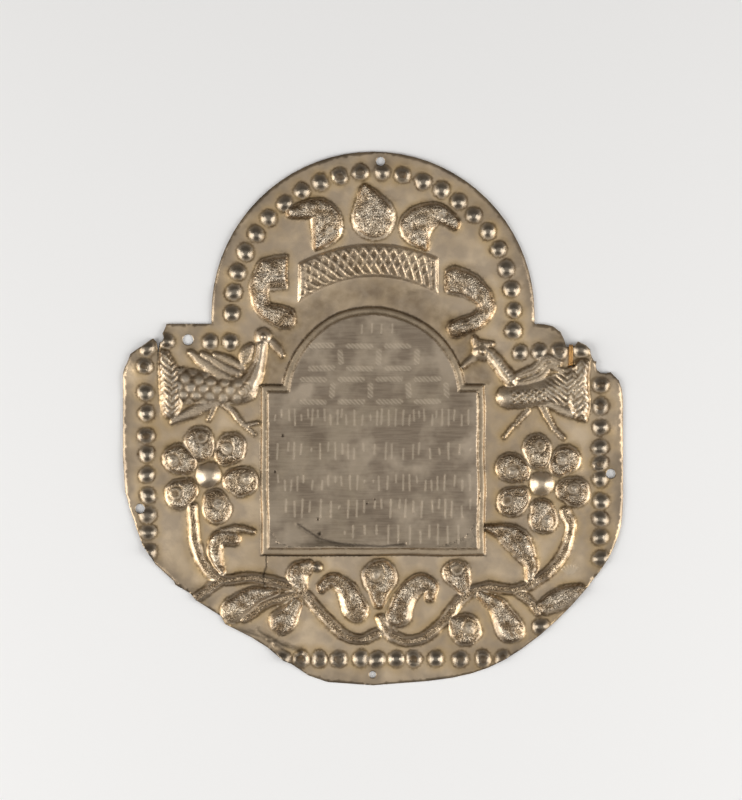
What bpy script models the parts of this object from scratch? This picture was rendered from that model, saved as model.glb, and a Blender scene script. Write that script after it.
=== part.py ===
"""Torah shield: one sheet of silver, chased and punched up from behind, lying on its back.

Every size is in millimetres. X runs across the shield, Y up it and Z out of its face. The middle of
the sheet is at X = Y = 0, and the flat back of its field is at Z = 0. The ornament is laid out on a
grid of 120 by 128 units from the middle to the edges, and one grid unit is one millimetre at the
real size, so a wider or taller sheet spreads the whole layout with it.
"""
import math

import bmesh
import bpy
import numpy as np
from mathutils import Vector
from mathutils.geometry import delaunay_2d_cdt

MM = 0.001

# The sheet
SHIELD_WIDTH = 240.0
SHIELD_HEIGHT = 256.0
SHEET_GAUGE = 0.6
ARCH_RADIUS = 77.5
SHOULDER_DROP = 82.6
GRID_HALF_WIDTH = 120.0
GRID_HALF_HEIGHT = 128.0
GRID_ARCH_FOOT = 77.5

# Punched beads
BEAD_RADIUS = 3.7
BEAD_RISE = 2.0
BEAD_INSET = 9.8
ARCH_BEADS = 23
ARCH_BEAD_START = 180.0
ARCH_BEAD_END = -7.0

# Raised inscription panel
PANEL_HALF_WIDTH = 53.8
PANEL_BOTTOM = -65.8
PANEL_SHOULDER = 16.1
PANEL_ARCH_CENTRE = (0.5, 8.8)
PANEL_ARCH_RADIUS = 44.7
PANEL_BAND = 3.8
PANEL_STEP = 0.8
PANEL_MOULDING_RISE = 1.5
PANEL_MOULDING_SLOPE = 0.2
PANEL_RISE = 3.0
PANEL_DENT = 1.2
PANEL_DENT_REACH = 15.0
PANEL_DENT_STRETCH = 2.2
PANEL_DENT_CENTRE = (-26.0, -61.0)

# Crown
CROWN_RISE = 2.9
CROWN_BAND_INNER = 59.0
CROWN_BAND_OUTER = 75.2
CROWN_BAND_LEFT = -36.0
CROWN_BAND_RIGHT = 31.5
CROWN_BAND_RISE = 1.5
CROWN_BAND_RAMP = 1.6

# Birds, flowers and vine
BIRD_RISE = 3.0
FEATHER_RISE = 1.3
LEG_RISE = 1.0
FLOWER_BOSS_RADIUS = 5.7
FLOWER_BOSS_RISE = 3.3
PETAL_RING = 16.8
PETAL_RADIUS = 6.9
PETAL_RISE = 2.5
VINE_RADIUS = 2.3
VINE_RISE = 1.6
LEAF_RISE = 2.6
BERRY_RADIUS = 2.2
BERRY_RISE = 2.2

# Fixing holes, each as its place on the grid and its diameter
TOP_HOLE_DIAMETER = 4.3
SHOULDER_HOLE_DIAMETER = 5.2
SIDE_HOLE_DIAMETER = 4.6
BOTTOM_HOLE_DIAMETER = 3.4

# Wire that ties the torn right shoulder
WIRE_DIAMETER = 0.56
WIRE_TURNS = 3
WIRE_PITCH = 0.66
WIRE_CLEARANCE = 0.35
WIRE_FLOOR_GAP = 0.05
TIE_X = 95.0
TIE_HOLE_Y = 25.4
TIE_EDGE_Y = 34.6
TIE_BEND = 0.62
WIRE_SAMPLES = 12
LIFT_CORE = 7.0
LIFT_REACH = 19.0

# Fineness of the faceted solid
ARC_STEP_DEGREES = 5.0
PANEL_ARC_STEP_DEGREES = 8.0
PATH_STEPS = 7
RIM_SPACING = 3.15
RIM_TRIAL_STEP = 0.9
RIDGE_SHARE = 0.95
WIDE_STROKE = 3.6
POINT_SPACING = 1.3
CREASE_SPACING = 18.0
EDGE_CLEARANCE = 0.8
BOSS_SIDES = 7
PROFILE_POWER = 2.2
CUT_RAMP = 1.2

SILVER = (0.60, 0.55, 0.46, 1.0)
GILT_WIRE = (0.62, 0.38, 0.12, 1.0)

# Torn and worn stretches of the edge, on the grid, in the order a hand would follow them
LEFT_SHOULDER_TEAR = [
    (-99.2, 45.4), (-99.4, 44.1), (-101.0, 40.8), (-100.4, 38.6), (-101.2, 37.1), (-102.4, 36.5),
    (-103.0, 31.9), (-103.9, 36.8), (-105.5, 38.4), (-107.1, 37.5), (-110.4, 35.1), (-113.8, 32.9),
    (-116.4, 31.0), (-118.0, 26.7), (-119.2, 24.5), (-120.0, 21.5),
]
LEFT_BASE_WEAR = [
    (-120.0, 2.0), (-120.0, -18.5), (-118.9, -35.2), (-116.6, -43.4), (-114.2, -50.6),
    (-110.6, -60.7), (-104.2, -70.1), (-95.6, -78.0), (-94.8, -79.8), (-87.8, -83.8),
    (-85.0, -87.1), (-73.0, -94.8), (-71.0, -98.6), (-67.4, -100.4), (-58.3, -105.0),
    (-50.9, -109.6), (-42.7, -116.4), (-39.0, -117.8), (-30.7, -123.4), (-21.6, -126.5),
]
RIGHT_BASE_CURVE = [
    (0.0, -128.0), (38.0, -124.4), (63.0, -115.8), (88.0, -97.0), (108.6, -73.6), (117.6, -56.4),
    (120.0, -38.0), (120.0, 9.0),
]
RIGHT_SHOULDER_TEAR = [
    (120.0, 9.0), (119.4, 14.2), (117.9, 18.3), (113.9, 22.3), (111.7, 21.6), (109.1, 21.9),
    (107.3, 23.4), (106.8, 25.7), (107.3, 27.3), (105.8, 27.8), (104.4, 30.8), (104.2, 33.1),
    (102.1, 35.2), (98.3, 37.0), (96.9, 34.9), (94.1, 34.3), (92.6, 34.4), (91.7, 37.7),
    (90.0, 41.4), (86.4, 44.2), (82.0, 45.2),
]

# Rows of beads: from, to, count, and how far the punch wandered along the row at each blow
BEAD_ROWS = {
    "left side": ((-109.4, 25.2), (-107.8, -64.2), (0, 2.8, 2.7, 3.5, 2.7, 2.5, 2.7, 1.9, 0.3, 0)),
    "right side": ((109.2, 16.1), (109.2, -67.4), (0, 0.6, 1.8, 2.2, 0.8, -1.5, 0, -0.7, -1.2, 0)),
    "bottom": ((-43.2, -115.4), (62.2, -115.4), (0, -1, -1.7, -2, -1, -2.8, -3.4, -4.2, -3.3, -1.7, 0, 0)),
    "left shoulder": ((-98.9, 37.2), (-68.4, 36.6), (0, 5.3, 0)),
    "right shoulder": ((70.5, 31.6), (99.9, 33.0), (0, -0.4, -0.6, 0)),
    "stray": ((-108.4, 33.6), (80.6, -99.8), (0, 0)),
}


def at(x, y):
    """Place a point of the layout grid on the sheet."""
    return (x * SHIELD_WIDTH / 2 / GRID_HALF_WIDTH, y * SHIELD_HEIGHT / 2 / GRID_HALF_HEIGHT)


def shoulder_at(x, y):
    """Place a grid point of a shoulder, which runs from the foot of the arch to the sheet's side."""
    share = (abs(x) - GRID_ARCH_FOOT) / (GRID_HALF_WIDTH - GRID_ARCH_FOOT)
    return (math.copysign(ARCH_RADIUS + share * (SHIELD_WIDTH / 2 - ARCH_RADIUS), x), at(0, y)[1])


def arc(centre, radius, start, end, step=ARC_STEP_DEGREES):
    """Points along an arc, from the start angle to the end angle in degrees."""
    count = max(2, round(abs(end - start) / step))
    angles = [math.radians(start + (end - start) * i / count) for i in range(count + 1)]
    return [(centre[0] + radius * math.cos(a), centre[1] + radius * math.sin(a)) for a in angles]


def smooth_run(knots, steps):
    """Points of a Catmull-Rom curve through the knots, without its last point."""
    line = np.array(knots, float)
    ends = np.vstack([2 * line[0] - line[1], line, 2 * line[-1] - line[-2]])
    points = []
    for i in range(1, len(ends) - 2):
        a, b, c, d = ends[i - 1:i + 3]
        for step in range(steps):
            t = step / steps
            points.append(0.5 * (2 * b + (c - a) * t + (2 * a - 5 * b + 4 * c - d) * t ** 2
                                 + (3 * b - a - 3 * c + d) * t ** 3))
    return points


def sheet_outline():
    """The whole edge of the sheet, anticlockwise from the middle of the bottom."""
    shoulder = SHIELD_HEIGHT / 2 - SHOULDER_DROP
    centre = (0.0, SHIELD_HEIGHT / 2 - ARCH_RADIUS)
    base = smooth_run([at(*p) for p in RIGHT_BASE_CURVE], 3)
    return ([(min(x, SHIELD_WIDTH / 2), y) for x, y in base]
            + [shoulder_at(*p) for p in RIGHT_SHOULDER_TEAR]
            + [(ARCH_RADIUS, shoulder)]
            + arc(centre, ARCH_RADIUS, 0, 180)
            + [(-ARCH_RADIUS, shoulder)]
            + [shoulder_at(*p) for p in LEFT_SHOULDER_TEAR]
            + [at(*p) for p in LEFT_BASE_WEAR])


def hole_loops():
    """The punched holes and the slot for the wire, each a closed ring of points."""
    round_holes = [
        (at(3.6, 123.4), TOP_HOLE_DIAMETER),
        (shoulder_at(-88.8, 37.8), SHOULDER_HOLE_DIAMETER),
        (at(-111.8, -43.2), SIDE_HOLE_DIAMETER),
        (at(114.1, -26.5), SIDE_HOLE_DIAMETER),
        (at(-0.2, -122.9), BOTTOM_HOLE_DIAMETER),
    ]
    loops = [arc(centre, diameter / 2, 0, 360, 30)[:-1] for centre, diameter in round_holes]
    slot_half = (WIRE_TURNS * WIRE_PITCH + WIRE_DIAMETER) / 2 + WIRE_CLEARANCE
    slot_rise = WIRE_DIAMETER / 2 + WIRE_CLEARANCE
    centre = shoulder_at(TIE_X, TIE_HOLE_Y)
    ring = arc((0, 0), 1, 0, 360, 36)[:-1]
    # The ring's corners stand out past the slot so that its sides, which are chords, still clear
    swell = 1 / math.cos(math.radians(18))
    loops.append([(centre[0] + x * slot_half * swell, centre[1] + y * slot_rise * swell) for x, y in ring])
    return loops


def panel_loop(inset):
    """Edge of the arched panel, moved inwards by the inset."""
    cx, cy = PANEL_ARCH_CENTRE
    cx, cy = at(cx, cy)
    half = PANEL_HALF_WIDTH - inset
    radius = PANEL_ARCH_RADIUS - inset
    bottom = at(0, PANEL_BOTTOM)[1] + inset
    shoulder = at(0, PANEL_SHOULDER)[1] - inset
    foot = math.degrees(math.asin(min(0.99, max(-0.99, (shoulder - cy) / radius))))
    return ([(-half, bottom), (half, bottom), (half, shoulder)]
            + arc((cx, cy), radius, foot, 180 - foot, PANEL_ARC_STEP_DEGREES)
            + [(-half, shoulder)])


def panel_height(x, y):
    """Rise of the panel: a flat moulding between two steps, and a dent at its lower left corner."""
    cx, cy = at(*PANEL_ARCH_CENTRE)
    bottom = at(0, PANEL_BOTTOM)[1]
    shoulder = at(0, PANEL_SHOULDER)[1]
    block = np.maximum(np.abs(x) - PANEL_HALF_WIDTH, np.maximum(y - shoulder, bottom - y))
    crown = np.hypot(x - cx, y - cy) - PANEL_ARCH_RADIUS
    depth = -np.minimum(block, crown)
    rise = np.interp(depth, (0, PANEL_STEP, PANEL_BAND - PANEL_STEP, PANEL_BAND),
                     (0, PANEL_MOULDING_RISE, PANEL_MOULDING_RISE + PANEL_MOULDING_SLOPE, PANEL_RISE))
    dent_x, dent_y = at(*PANEL_DENT_CENTRE)
    reach = np.hypot((x - dent_x) / PANEL_DENT_STRETCH, y - dent_y) / PANEL_DENT_REACH
    dent = PANEL_DENT * np.clip(1 - reach, 0, 1) * np.clip((depth - PANEL_BAND) / PANEL_BAND, 0, 1)
    return rise - dent


def crown_band_loop(inset):
    """Edge of the curved band under the plumes, moved inwards by the inset."""
    cx, cy = at(*PANEL_ARCH_CENTRE)
    left = at(CROWN_BAND_LEFT, 0)[0] + inset
    right = at(CROWN_BAND_RIGHT, 0)[0] - inset
    loop = []
    for radius, ends in ((CROWN_BAND_OUTER - inset, (right, left)), (CROWN_BAND_INNER + inset, (left, right))):
        start, end = (math.degrees(math.acos((x - cx) / radius)) for x in ends)
        loop += arc((cx, cy), radius, start, end)
    return loop


def crown_band_height(x, y):
    """Rise of the curved band under the plumes, cut off square at both ends."""
    cx, cy = at(*PANEL_ARCH_CENTRE)
    radius = np.hypot(x - cx, y - cy)
    depth = np.minimum(np.minimum(radius - CROWN_BAND_INNER, CROWN_BAND_OUTER - radius),
                       np.minimum(x - at(CROWN_BAND_LEFT, 0)[0], at(CROWN_BAND_RIGHT, 0)[0] - x))
    above = y > cy
    return CROWN_BAND_RISE * np.clip(depth / CROWN_BAND_RAMP, 0, 1) * above


def lift_height(x, y):
    """The sheet stands off the ground around the wire that ties its torn shoulder."""
    cx, cy = shoulder_at(TIE_X, (TIE_HOLE_Y + TIE_EDGE_Y) / 2)
    reach = (np.hypot(x - cx, y - cy) - LIFT_CORE) / (LIFT_REACH - LIFT_CORE)
    fade = 1 - np.clip(reach, 0, 1)
    full = WIRE_FLOOR_GAP + WIRE_DIAMETER + WIRE_CLEARANCE
    return full * fade * fade * (3 - 2 * fade)


def thinned(points, spacing):
    """The points in their order, without those that crowd an earlier one."""
    kept = []
    cells = {}
    for point in points:
        column, row = math.floor(point[0] / spacing), math.floor(point[1] / spacing)
        around = [(column + i, row + j) for i in (-1, 0, 1) for j in (-1, 0, 1)]
        if any(math.dist(point, q) < spacing for cell in around for q in cells.get(cell, [])):
            continue
        cells.setdefault((column, row), []).append(point)
        kept.append(point)
    return kept


def smooth_path(knots):
    """A smooth curve through (x, y, radius) knots, placed on the sheet."""
    line = [(*at(x, y), r) for x, y, r in knots]
    return np.array(smooth_run(line, PATH_STEPS) + [np.array(line[-1])])


class Stroke:
    """A raised form whose ridge runs along a curve, as wide on each side as the curve's radius."""

    def __init__(self, rise, *knots, cut=None):
        self.rise = rise
        self.path = smooth_path(knots)
        self.cut = cut

    def share(self, x, y):
        """How far a point lies from the ridge, as a share of the form's reach there."""
        share = np.full(np.shape(x), 9.0)
        for px, py, radius in self.path:
            share = np.minimum(share, np.hypot(x - px, y - py) / max(radius, 0.3))
        return share

    def height(self, x, y):
        full = 1 - np.minimum(self.share(x, y), 1) ** PROFILE_POWER
        if self.cut is not None:
            place, side = self.cut
            full = np.minimum(full, np.clip((at(place, 0)[0] - x) * side / CUT_RAMP, 0, 1))
        return self.rise * full

    def mesh_points(self):
        """The form's outline, then its ridge, and two lines between where it is wide."""
        rim = []
        for x, y, radius in self.path:
            count = max(8, round(2 * math.pi * radius / RIM_TRIAL_STEP))
            rim += arc((x, y), radius, 0, 360, 360 / count)[:-1]
        beyond = self.share(*np.array(rim).T) > 0.98
        points = thinned([p for p, outside in zip(rim, beyond) if outside], RIM_SPACING)
        last = None
        for i, (x, y, radius) in enumerate(self.path):
            step = max(RIDGE_SHARE * radius, RIM_SPACING)
            if last is not None and math.hypot(x - last[0], y - last[1]) < step:
                continue
            last = (x, y)
            ahead = self.path[min(i + 1, len(self.path) - 1)] - self.path[max(i - 1, 0)]
            along = Vector(ahead[:2]).normalized()
            offsets = (0, -0.6, 0.6) if radius > WIDE_STROKE else (0,)
            points += [(x - along[1] * o * radius, y + along[0] * o * radius) for o in offsets]
        if self.cut is not None:
            edge = at(self.cut[0], 0)[0]
            points = [p for p in points if (edge - p[0]) * self.cut[1] > 0]
            reach = self.path[:, 2].max()
            low, high = self.path[:, 1].min() - reach, self.path[:, 1].max() + reach
            count = max(2, round((high - low) / RIM_SPACING))
            for i in range(count + 1):
                y = low + (high - low) * i / count
                points += [(edge, y), (edge - self.cut[1] * CUT_RAMP, y)]
        return points


class Boss:
    """A round punched dome."""

    def __init__(self, rise, centre, radius):
        self.rise = rise
        self.centre = at(*centre)
        self.radius = radius

    def height(self, x, y):
        share = np.hypot(x - self.centre[0], y - self.centre[1]) / self.radius
        return self.rise * (1 - np.minimum(share, 1) ** PROFILE_POWER)

    def mesh_points(self):
        foot = arc(self.centre, self.radius, 0, 360, 360 / BOSS_SIDES)[:-1]
        crest = arc(self.centre, self.radius * 0.5, 45, 405, 90)[:-1]
        return foot + crest


def beads():
    """Rows of beads round the border."""
    forms = []
    centre_y = SHIELD_HEIGHT / 2 - ARCH_RADIUS
    step = (ARCH_BEAD_END - ARCH_BEAD_START) / (ARCH_BEADS - 1)
    for i in range(ARCH_BEADS):
        angle = math.radians(ARCH_BEAD_START + step * i)
        bead = Boss(BEAD_RISE, (0, 0), BEAD_RADIUS)
        reach = ARCH_RADIUS - BEAD_INSET
        bead.centre = (reach * math.cos(angle), centre_y + reach * math.sin(angle))
        forms.append(bead)
    for name, (start, end, wander) in BEAD_ROWS.items():
        place_bead = shoulder_at if "shoulder" in name else at
        span = Vector(end) - Vector(start)
        along = span.normalized()
        for i, shift in enumerate(wander):
            place = Vector(start) + span * i / (len(wander) - 1) + along * shift
            bead = Boss(BEAD_RISE, (0, 0), BEAD_RADIUS)
            bead.centre = place_bead(*place)
            forms.append(bead)
    return forms


def crown():
    """Three plumes over the curved band, with a hooked leaf at each side."""
    return [
        Stroke(CROWN_RISE, (-26.8, 82.8, 1.6), (-22.0, 91.5, 7.4), (-25.9, 100.2, 5.4), (-38.6, 98.6, 2.6)),
        Stroke(CROWN_RISE, (0.4, 96.2, 10.4), (-2.0, 104.5, 6.0), (-4.2, 111.4, 1.0)),
        Stroke(CROWN_RISE, (24.8, 82.2, 1.6), (20.6, 92.4, 7.6), (30.4, 98.6, 4.8), (39.0, 93.6, 2.4)),
        Stroke(CROWN_RISE, (-42.6, 70.2, 8.2), (-48.0, 69.6, 8.0), cut=(-41.1, 1)),
        Stroke(CROWN_RISE, (-50.0, 70.4, 6.6), (-54.8, 61.6, 4.4), (-52.0, 52.4, 3.6), (-42.6, 48.4, 5.2)),
        Stroke(CROWN_RISE, (39.6, 66.0, 6.6), (47.0, 63.0, 5.8), (54.0, 56.2, 4.2), (51.0, 48.0, 3.8),
               (40.4, 43.2, 4.4), cut=(35.0, -1)),
    ]


def left_bird():
    """Bird at the left of the panel: head, neck, scaled body, barred tail, wing plumes and legs."""
    return [
        Boss(BIRD_RISE, (-52.6, 39.1), 3.9),
        Stroke(FEATHER_RISE, (-49.0, 37.0, 1.8), (-46.2, 33.5, 1.8), (-43.6, 30.0, 0.9)),
        Stroke(FEATHER_RISE, (-58.6, 34.2, 1.6), (-60.6, 30.6, 3.2), (-62.8, 26.6, 1.4)),
        Stroke(BIRD_RISE, (-53.2, 35.6, 2.4), (-54.2, 28.0, 2.4), (-57.2, 20.0, 3.8), (-61.2, 13.4, 5.6)),
        Stroke(BIRD_RISE, (-62.7, 13.2, 5.6), (-77.0, 14.0, 7.4), (-91.0, 15.4, 8.4)),
        Stroke(BIRD_RISE, (-100.4, 29.6, 3.0), (-97.0, 16.0, 6.0), (-97.2, 4.0, 4.2), cut=(-102.6, -1)),
        Stroke(FEATHER_RISE, (-76.0, 8.0, 1.8), (-86.0, 3.4, 2.6), (-96.4, -1.4, 1.4)),
        Stroke(FEATHER_RISE, (-87.4, 31.4, 1.3), (-80.0, 25.4, 2.2), (-70.0, 19.8, 1.8)),
        Stroke(FEATHER_RISE, (-82.0, 30.8, 1.3), (-74.0, 26.0, 2.1), (-65.0, 21.6, 1.7)),
        Stroke(FEATHER_RISE, (-76.0, 30.6, 1.3), (-69.0, 28.0, 1.9), (-62.6, 24.2, 1.4)),
        Stroke(LEG_RISE, (-75.0, 8.4, 1.3), (-77.0, 4.0, 1.1), (-79.4, -0.4, 0.9)),
        Stroke(LEG_RISE, (-71.0, 7.4, 1.4), (-66.0, 2.4, 1.2), (-61.8, -3.2, 1.0)),
        Stroke(LEG_RISE, (-61.8, -3.2, 1.0), (-55.4, -2.0, 0.7)),
        Stroke(LEG_RISE, (-61.8, -3.2, 1.0), (-57.0, -7.6, 0.7)),
    ]


def right_bird():
    """Bird at the right: crested head, ladder neck, body, barred tail, wavy wing and legs."""
    return [
        Boss(BIRD_RISE, (52.2, 31.6), 4.2),
        Stroke(FEATHER_RISE, (48.6, 38.8, 0.9), (50.4, 35.6, 2.0), (57.4, 35.6, 1.0)),
        Stroke(FEATHER_RISE, (48.6, 29.0, 1.9), (43.4, 24.6, 0.9)),
        Stroke(BIRD_RISE, (56.4, 30.4, 3.0), (61.4, 24.6, 3.2), (66.0, 18.4, 3.2)),
        Stroke(BIRD_RISE, (65.0, 10.4, 5.4), (80.6, 12.0, 6.2), (95.6, 15.8, 8.6), cut=(103.6, 1)),
        Stroke(BIRD_RISE, (100.4, 24.8, 3.4), (98.4, 14.6, 6.4), (99.6, 3.6, 4.2), cut=(103.6, 1)),
        Stroke(FEATHER_RISE, (84.0, 6.4, 1.4), (92.0, 4.0, 2.2), (102.0, 0.0, 1.2), cut=(103.6, 1)),
        Stroke(FEATHER_RISE, (67.6, 20.0, 1.4), (77.4, 23.8, 2.0), (82.6, 28.6, 1.7), (89.4, 27.0, 1.3)),
        Stroke(FEATHER_RISE, (70.4, 17.4, 1.4), (80.0, 20.2, 2.0), (84.4, 25.0, 1.6), (90.4, 23.4, 1.3)),
        Stroke(LEG_RISE, (81.4, 5.6, 1.5), (83.8, 0.0, 1.2), (87.0, -5.2, 0.9)),
        Stroke(LEG_RISE, (87.0, -5.2, 0.9), (91.2, -9.2, 0.8)),
        Stroke(LEG_RISE, (74.4, 4.0, 1.2), (68.6, -3.2, 0.9)),
        Stroke(LEG_RISE, (67.8, -3.6, 0.8), (63.0, -9.0, 0.6)),
    ]


def flower(centre, angles):
    """A boss in a ring of six round, curled petals."""
    forms = [Boss(FLOWER_BOSS_RISE, centre, FLOWER_BOSS_RADIUS)]
    for degrees in angles:
        turn = math.radians(degrees)
        out = (math.cos(turn), math.sin(turn))
        near = PETAL_RING - PETAL_RADIUS * 1.1
        head = (centre[0] + PETAL_RING * out[0], centre[1] + PETAL_RING * out[1], PETAL_RADIUS)
        foot = (centre[0] + near * out[0], centre[1] + near * out[1], PETAL_RADIUS * 0.42)
        forms.append(Stroke(PETAL_RISE, foot, head))
    return forms


def vine():
    """Stems that run from the flowers down and in along the base."""
    r = VINE_RADIUS
    return [
        Stroke(VINE_RISE, (-86.7, -42.6, r), (-85.8, -55.4, r), (-82.2, -69.2, r), (-72.0, -77.2, r),
               (-58.0, -76.6, r), (-43.6, -79.0, r), (-33.5, -84.2, r), (-25.2, -93.1, r),
               (-16.0, -102.3, r), (-6.6, -106.0, r), (1.6, -103.4, r)),
        Stroke(VINE_RISE, (-73.0, -77.8, r), (-84.0, -85.6, r)),
        Stroke(VINE_RISE, (-61.9, -96.4, 1.4), (-50.0, -88.4, r), (-38.0, -84.8, r)),
        Stroke(VINE_RISE, (4.0, -96.0, r), (8.0, -103.4, r), (16.7, -106.9, r), (26.4, -103.8, r),
               (35.4, -95.6, r), (42.8, -85.8, r), (54.0, -80.7, r), (67.0, -82.2, r), (76.8, -79.0, r),
               (86.0, -71.8, r), (92.2, -62.8, r), (94.8, -52.7, r), (92.5, -44.4, r)),
        Stroke(VINE_RISE, (68.0, -82.4, r), (75.0, -87.6, 1.8), (79.6, -93.4, 1.2)),
    ]


def leaves():
    """Drops, curled leaves and berries that grow from the vine."""
    return [
        Stroke(LEAF_RISE, (-72.6, -73.6, 1.2), (-76.0, -64.4, 3.2), (-74.2, -58.0, 3.8), (-67.6, -57.4, 3.4)),
        Stroke(FEATHER_RISE, (-72.0, -53.6, 1.2), (-65.0, -52.8, 1.3), (-57.8, -54.4, 1.0)),
        Stroke(LEAF_RISE, (-46.0, -82.6, 1.6), (-57.4, -85.4, 4.2), (-67.0, -92.2, 5.8)),
        Stroke(LEAF_RISE, (-37.4, -89.0, 3.2), (-43.4, -97.6, 5.8)),
        Stroke(LEAF_RISE, (-34.4, -82.4, 2.0), (-36.2, -74.4, 5.0), (-30.6, -70.4, 2.6)),
        Boss(BERRY_RISE, (-27.0, -71.2), BERRY_RADIUS),
        Stroke(LEAF_RISE, (-24.8, -81.2, 2.2), (-19.6, -77.6, 3.0), (-13.0, -82.0, 4.4), (-8.4, -91.6, 6.0)),
        Stroke(LEAF_RISE, (3.0, -88.4, 2.0), (3.0, -82.0, 4.8), (3.0, -76.0, 8.4)),
        Stroke(LEAF_RISE, (12.0, -94.2, 5.8), (15.6, -86.0, 4.8), (22.0, -78.8, 4.4), (27.6, -80.6, 3.2),
               (27.2, -85.0, 2.4)),
        Stroke(LEAF_RISE, (44.0, -83.4, 2.2), (39.8, -74.2, 6.2)),
        Stroke(LEAF_RISE, (54.6, -52.4, 1.0), (62.6, -55.2, 4.0), (69.4, -59.6, 6.2), (75.2, -68.6, 3.2),
               (75.6, -77.0, 1.8)),
        Stroke(LEAF_RISE, (83.0, -90.2, 3.8), (92.4, -85.4, 5.0), (99.2, -82.0, 2.6)),
        Stroke(LEAF_RISE, (52.0, -84.4, 2.2), (60.0, -90.6, 4.4), (66.0, -101.0, 6.6)),
        Stroke(LEAF_RISE, (37.4, -96.6, 1.4), (44.2, -101.2, 7.6)),
    ]


def all_forms():
    """Every raised form of the ornament."""
    return (beads() + crown() + left_bird() + right_bird()
            + flower((-78.8, -26.9), (50, 106, 153, 214, 284, 348))
            + flower((80.8, -31.4), (44, 97, 152, 211, 273, 347))
            + vine() + leaves())


def back_height(x, y, forms):
    """Height of the sheet's back over the flat ground."""
    raised = crown_band_height(x, y)
    for form in forms:
        raised = np.maximum(raised, form.height(x, y))
    return lift_height(x, y) + panel_height(x, y) + raised


def distance_to_loop(point, loop):
    """Shortest distance from a point to a closed ring of straight edges."""
    a = np.array(loop)
    b = np.roll(a, -1, axis=0)
    span = b - a
    share = np.clip(((point - a) * span).sum(1) / (span ** 2).sum(1), 0, 1)
    return np.hypot(*(a + span * share[:, None] - point).T).min()


def is_inside(point, loop):
    """Whether a point lies within a closed ring."""
    a = np.array(loop)
    b = np.roll(a, -1, axis=0)
    crosses = (a[:, 1] > point[1]) != (b[:, 1] > point[1])
    rise = np.where(b[:, 1] == a[:, 1], 1, b[:, 1] - a[:, 1])
    where = a[:, 0] + (point[1] - a[:, 1]) * (b[:, 0] - a[:, 0]) / rise
    return (crosses & (point[0] < where)).sum() % 2 == 1


def split_long_sides(loop, longest):
    """The ring with points added along every side that is longer than the limit."""
    points = []
    for a, b in zip(loop, loop[1:] + loop[:1]):
        count = max(1, math.ceil(math.dist(a, b) / longest))
        points += [(a[0] + (b[0] - a[0]) * i / count, a[1] + (b[1] - a[1]) * i / count) for i in range(count)]
    return points


def crease_loops():
    """Foot and top edges of the panel's two steps and of the crown's band."""
    rings = [panel_loop(inset) for inset in (0, PANEL_STEP, PANEL_BAND - PANEL_STEP, PANEL_BAND)]
    rings += [crown_band_loop(0), crown_band_loop(CROWN_BAND_RAMP)]
    return [split_long_sides(ring, CREASE_SPACING) for ring in rings]


def layout_points(forms, outline, holes):
    """Points inside the sheet that carry its forms, thinned so that none crowd each other."""
    wanted = []
    for form in forms:
        wanted += form.mesh_points()
    tie = shoulder_at(TIE_X, (TIE_HOLE_Y + TIE_EDGE_Y) / 2)
    for radius in (LIFT_CORE, (LIFT_CORE + LIFT_REACH) / 2, LIFT_REACH):
        wanted += arc(tie, radius, 0, 345, 30)
    dent = at(*PANEL_DENT_CENTRE)
    for share in (0.15, 0.6, 1.0):
        ring = arc((0, 0), PANEL_DENT_REACH * share, 0, 315, 45)
        wanted += [(dent[0] + PANEL_DENT_STRETCH * x, dent[1] + y) for x, y in ring]
    loops = [outline] + holes + crease_loops()
    kept = []
    for point in thinned(wanted, POINT_SPACING):
        clear = min(distance_to_loop(point, loop) for loop in loops) > EDGE_CLEARANCE
        if clear and is_inside(point, outline) and not any(is_inside(point, hole) for hole in holes):
            kept.append(point)
    return kept


def triangulate(outline, holes, forms):
    """Triangles over the sheet that keep its edge, its holes and the creases of its panel."""
    points = []
    edges = []
    for loop in [outline] + holes + crease_loops():
        first = len(points)
        points += loop
        edges += [(first + i, first + (i + 1) % len(loop)) for i in range(len(loop))]
    points += layout_points(forms, outline, holes)
    result = delaunay_2d_cdt([Vector(p) for p in points], edges, [], 0, 0.0001)
    places = [tuple(v) for v in result[0]]
    triangles = []
    for a, b, c in result[2]:
        middle = np.mean([places[a], places[b], places[c]], axis=0)
        if is_inside(middle, outline) and not any(is_inside(middle, hole) for hole in holes):
            triangles.append((a, b, c))
    return places, triangles


def material(name, colour, roughness):
    """A plain metal."""
    metal = bpy.data.materials.new(name)
    metal.use_nodes = True
    shader = metal.node_tree.nodes["Principled BSDF"]
    shader.inputs["Base Color"].default_value = colour
    shader.inputs["Metallic"].default_value = 1.0
    shader.inputs["Roughness"].default_value = roughness
    return metal


def add_object(name, data, finish):
    """Put a named object into the scene."""
    piece = bpy.data.objects.new(name, data)
    data.materials.append(finish)
    bpy.context.scene.collection.objects.link(piece)
    return piece


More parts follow.
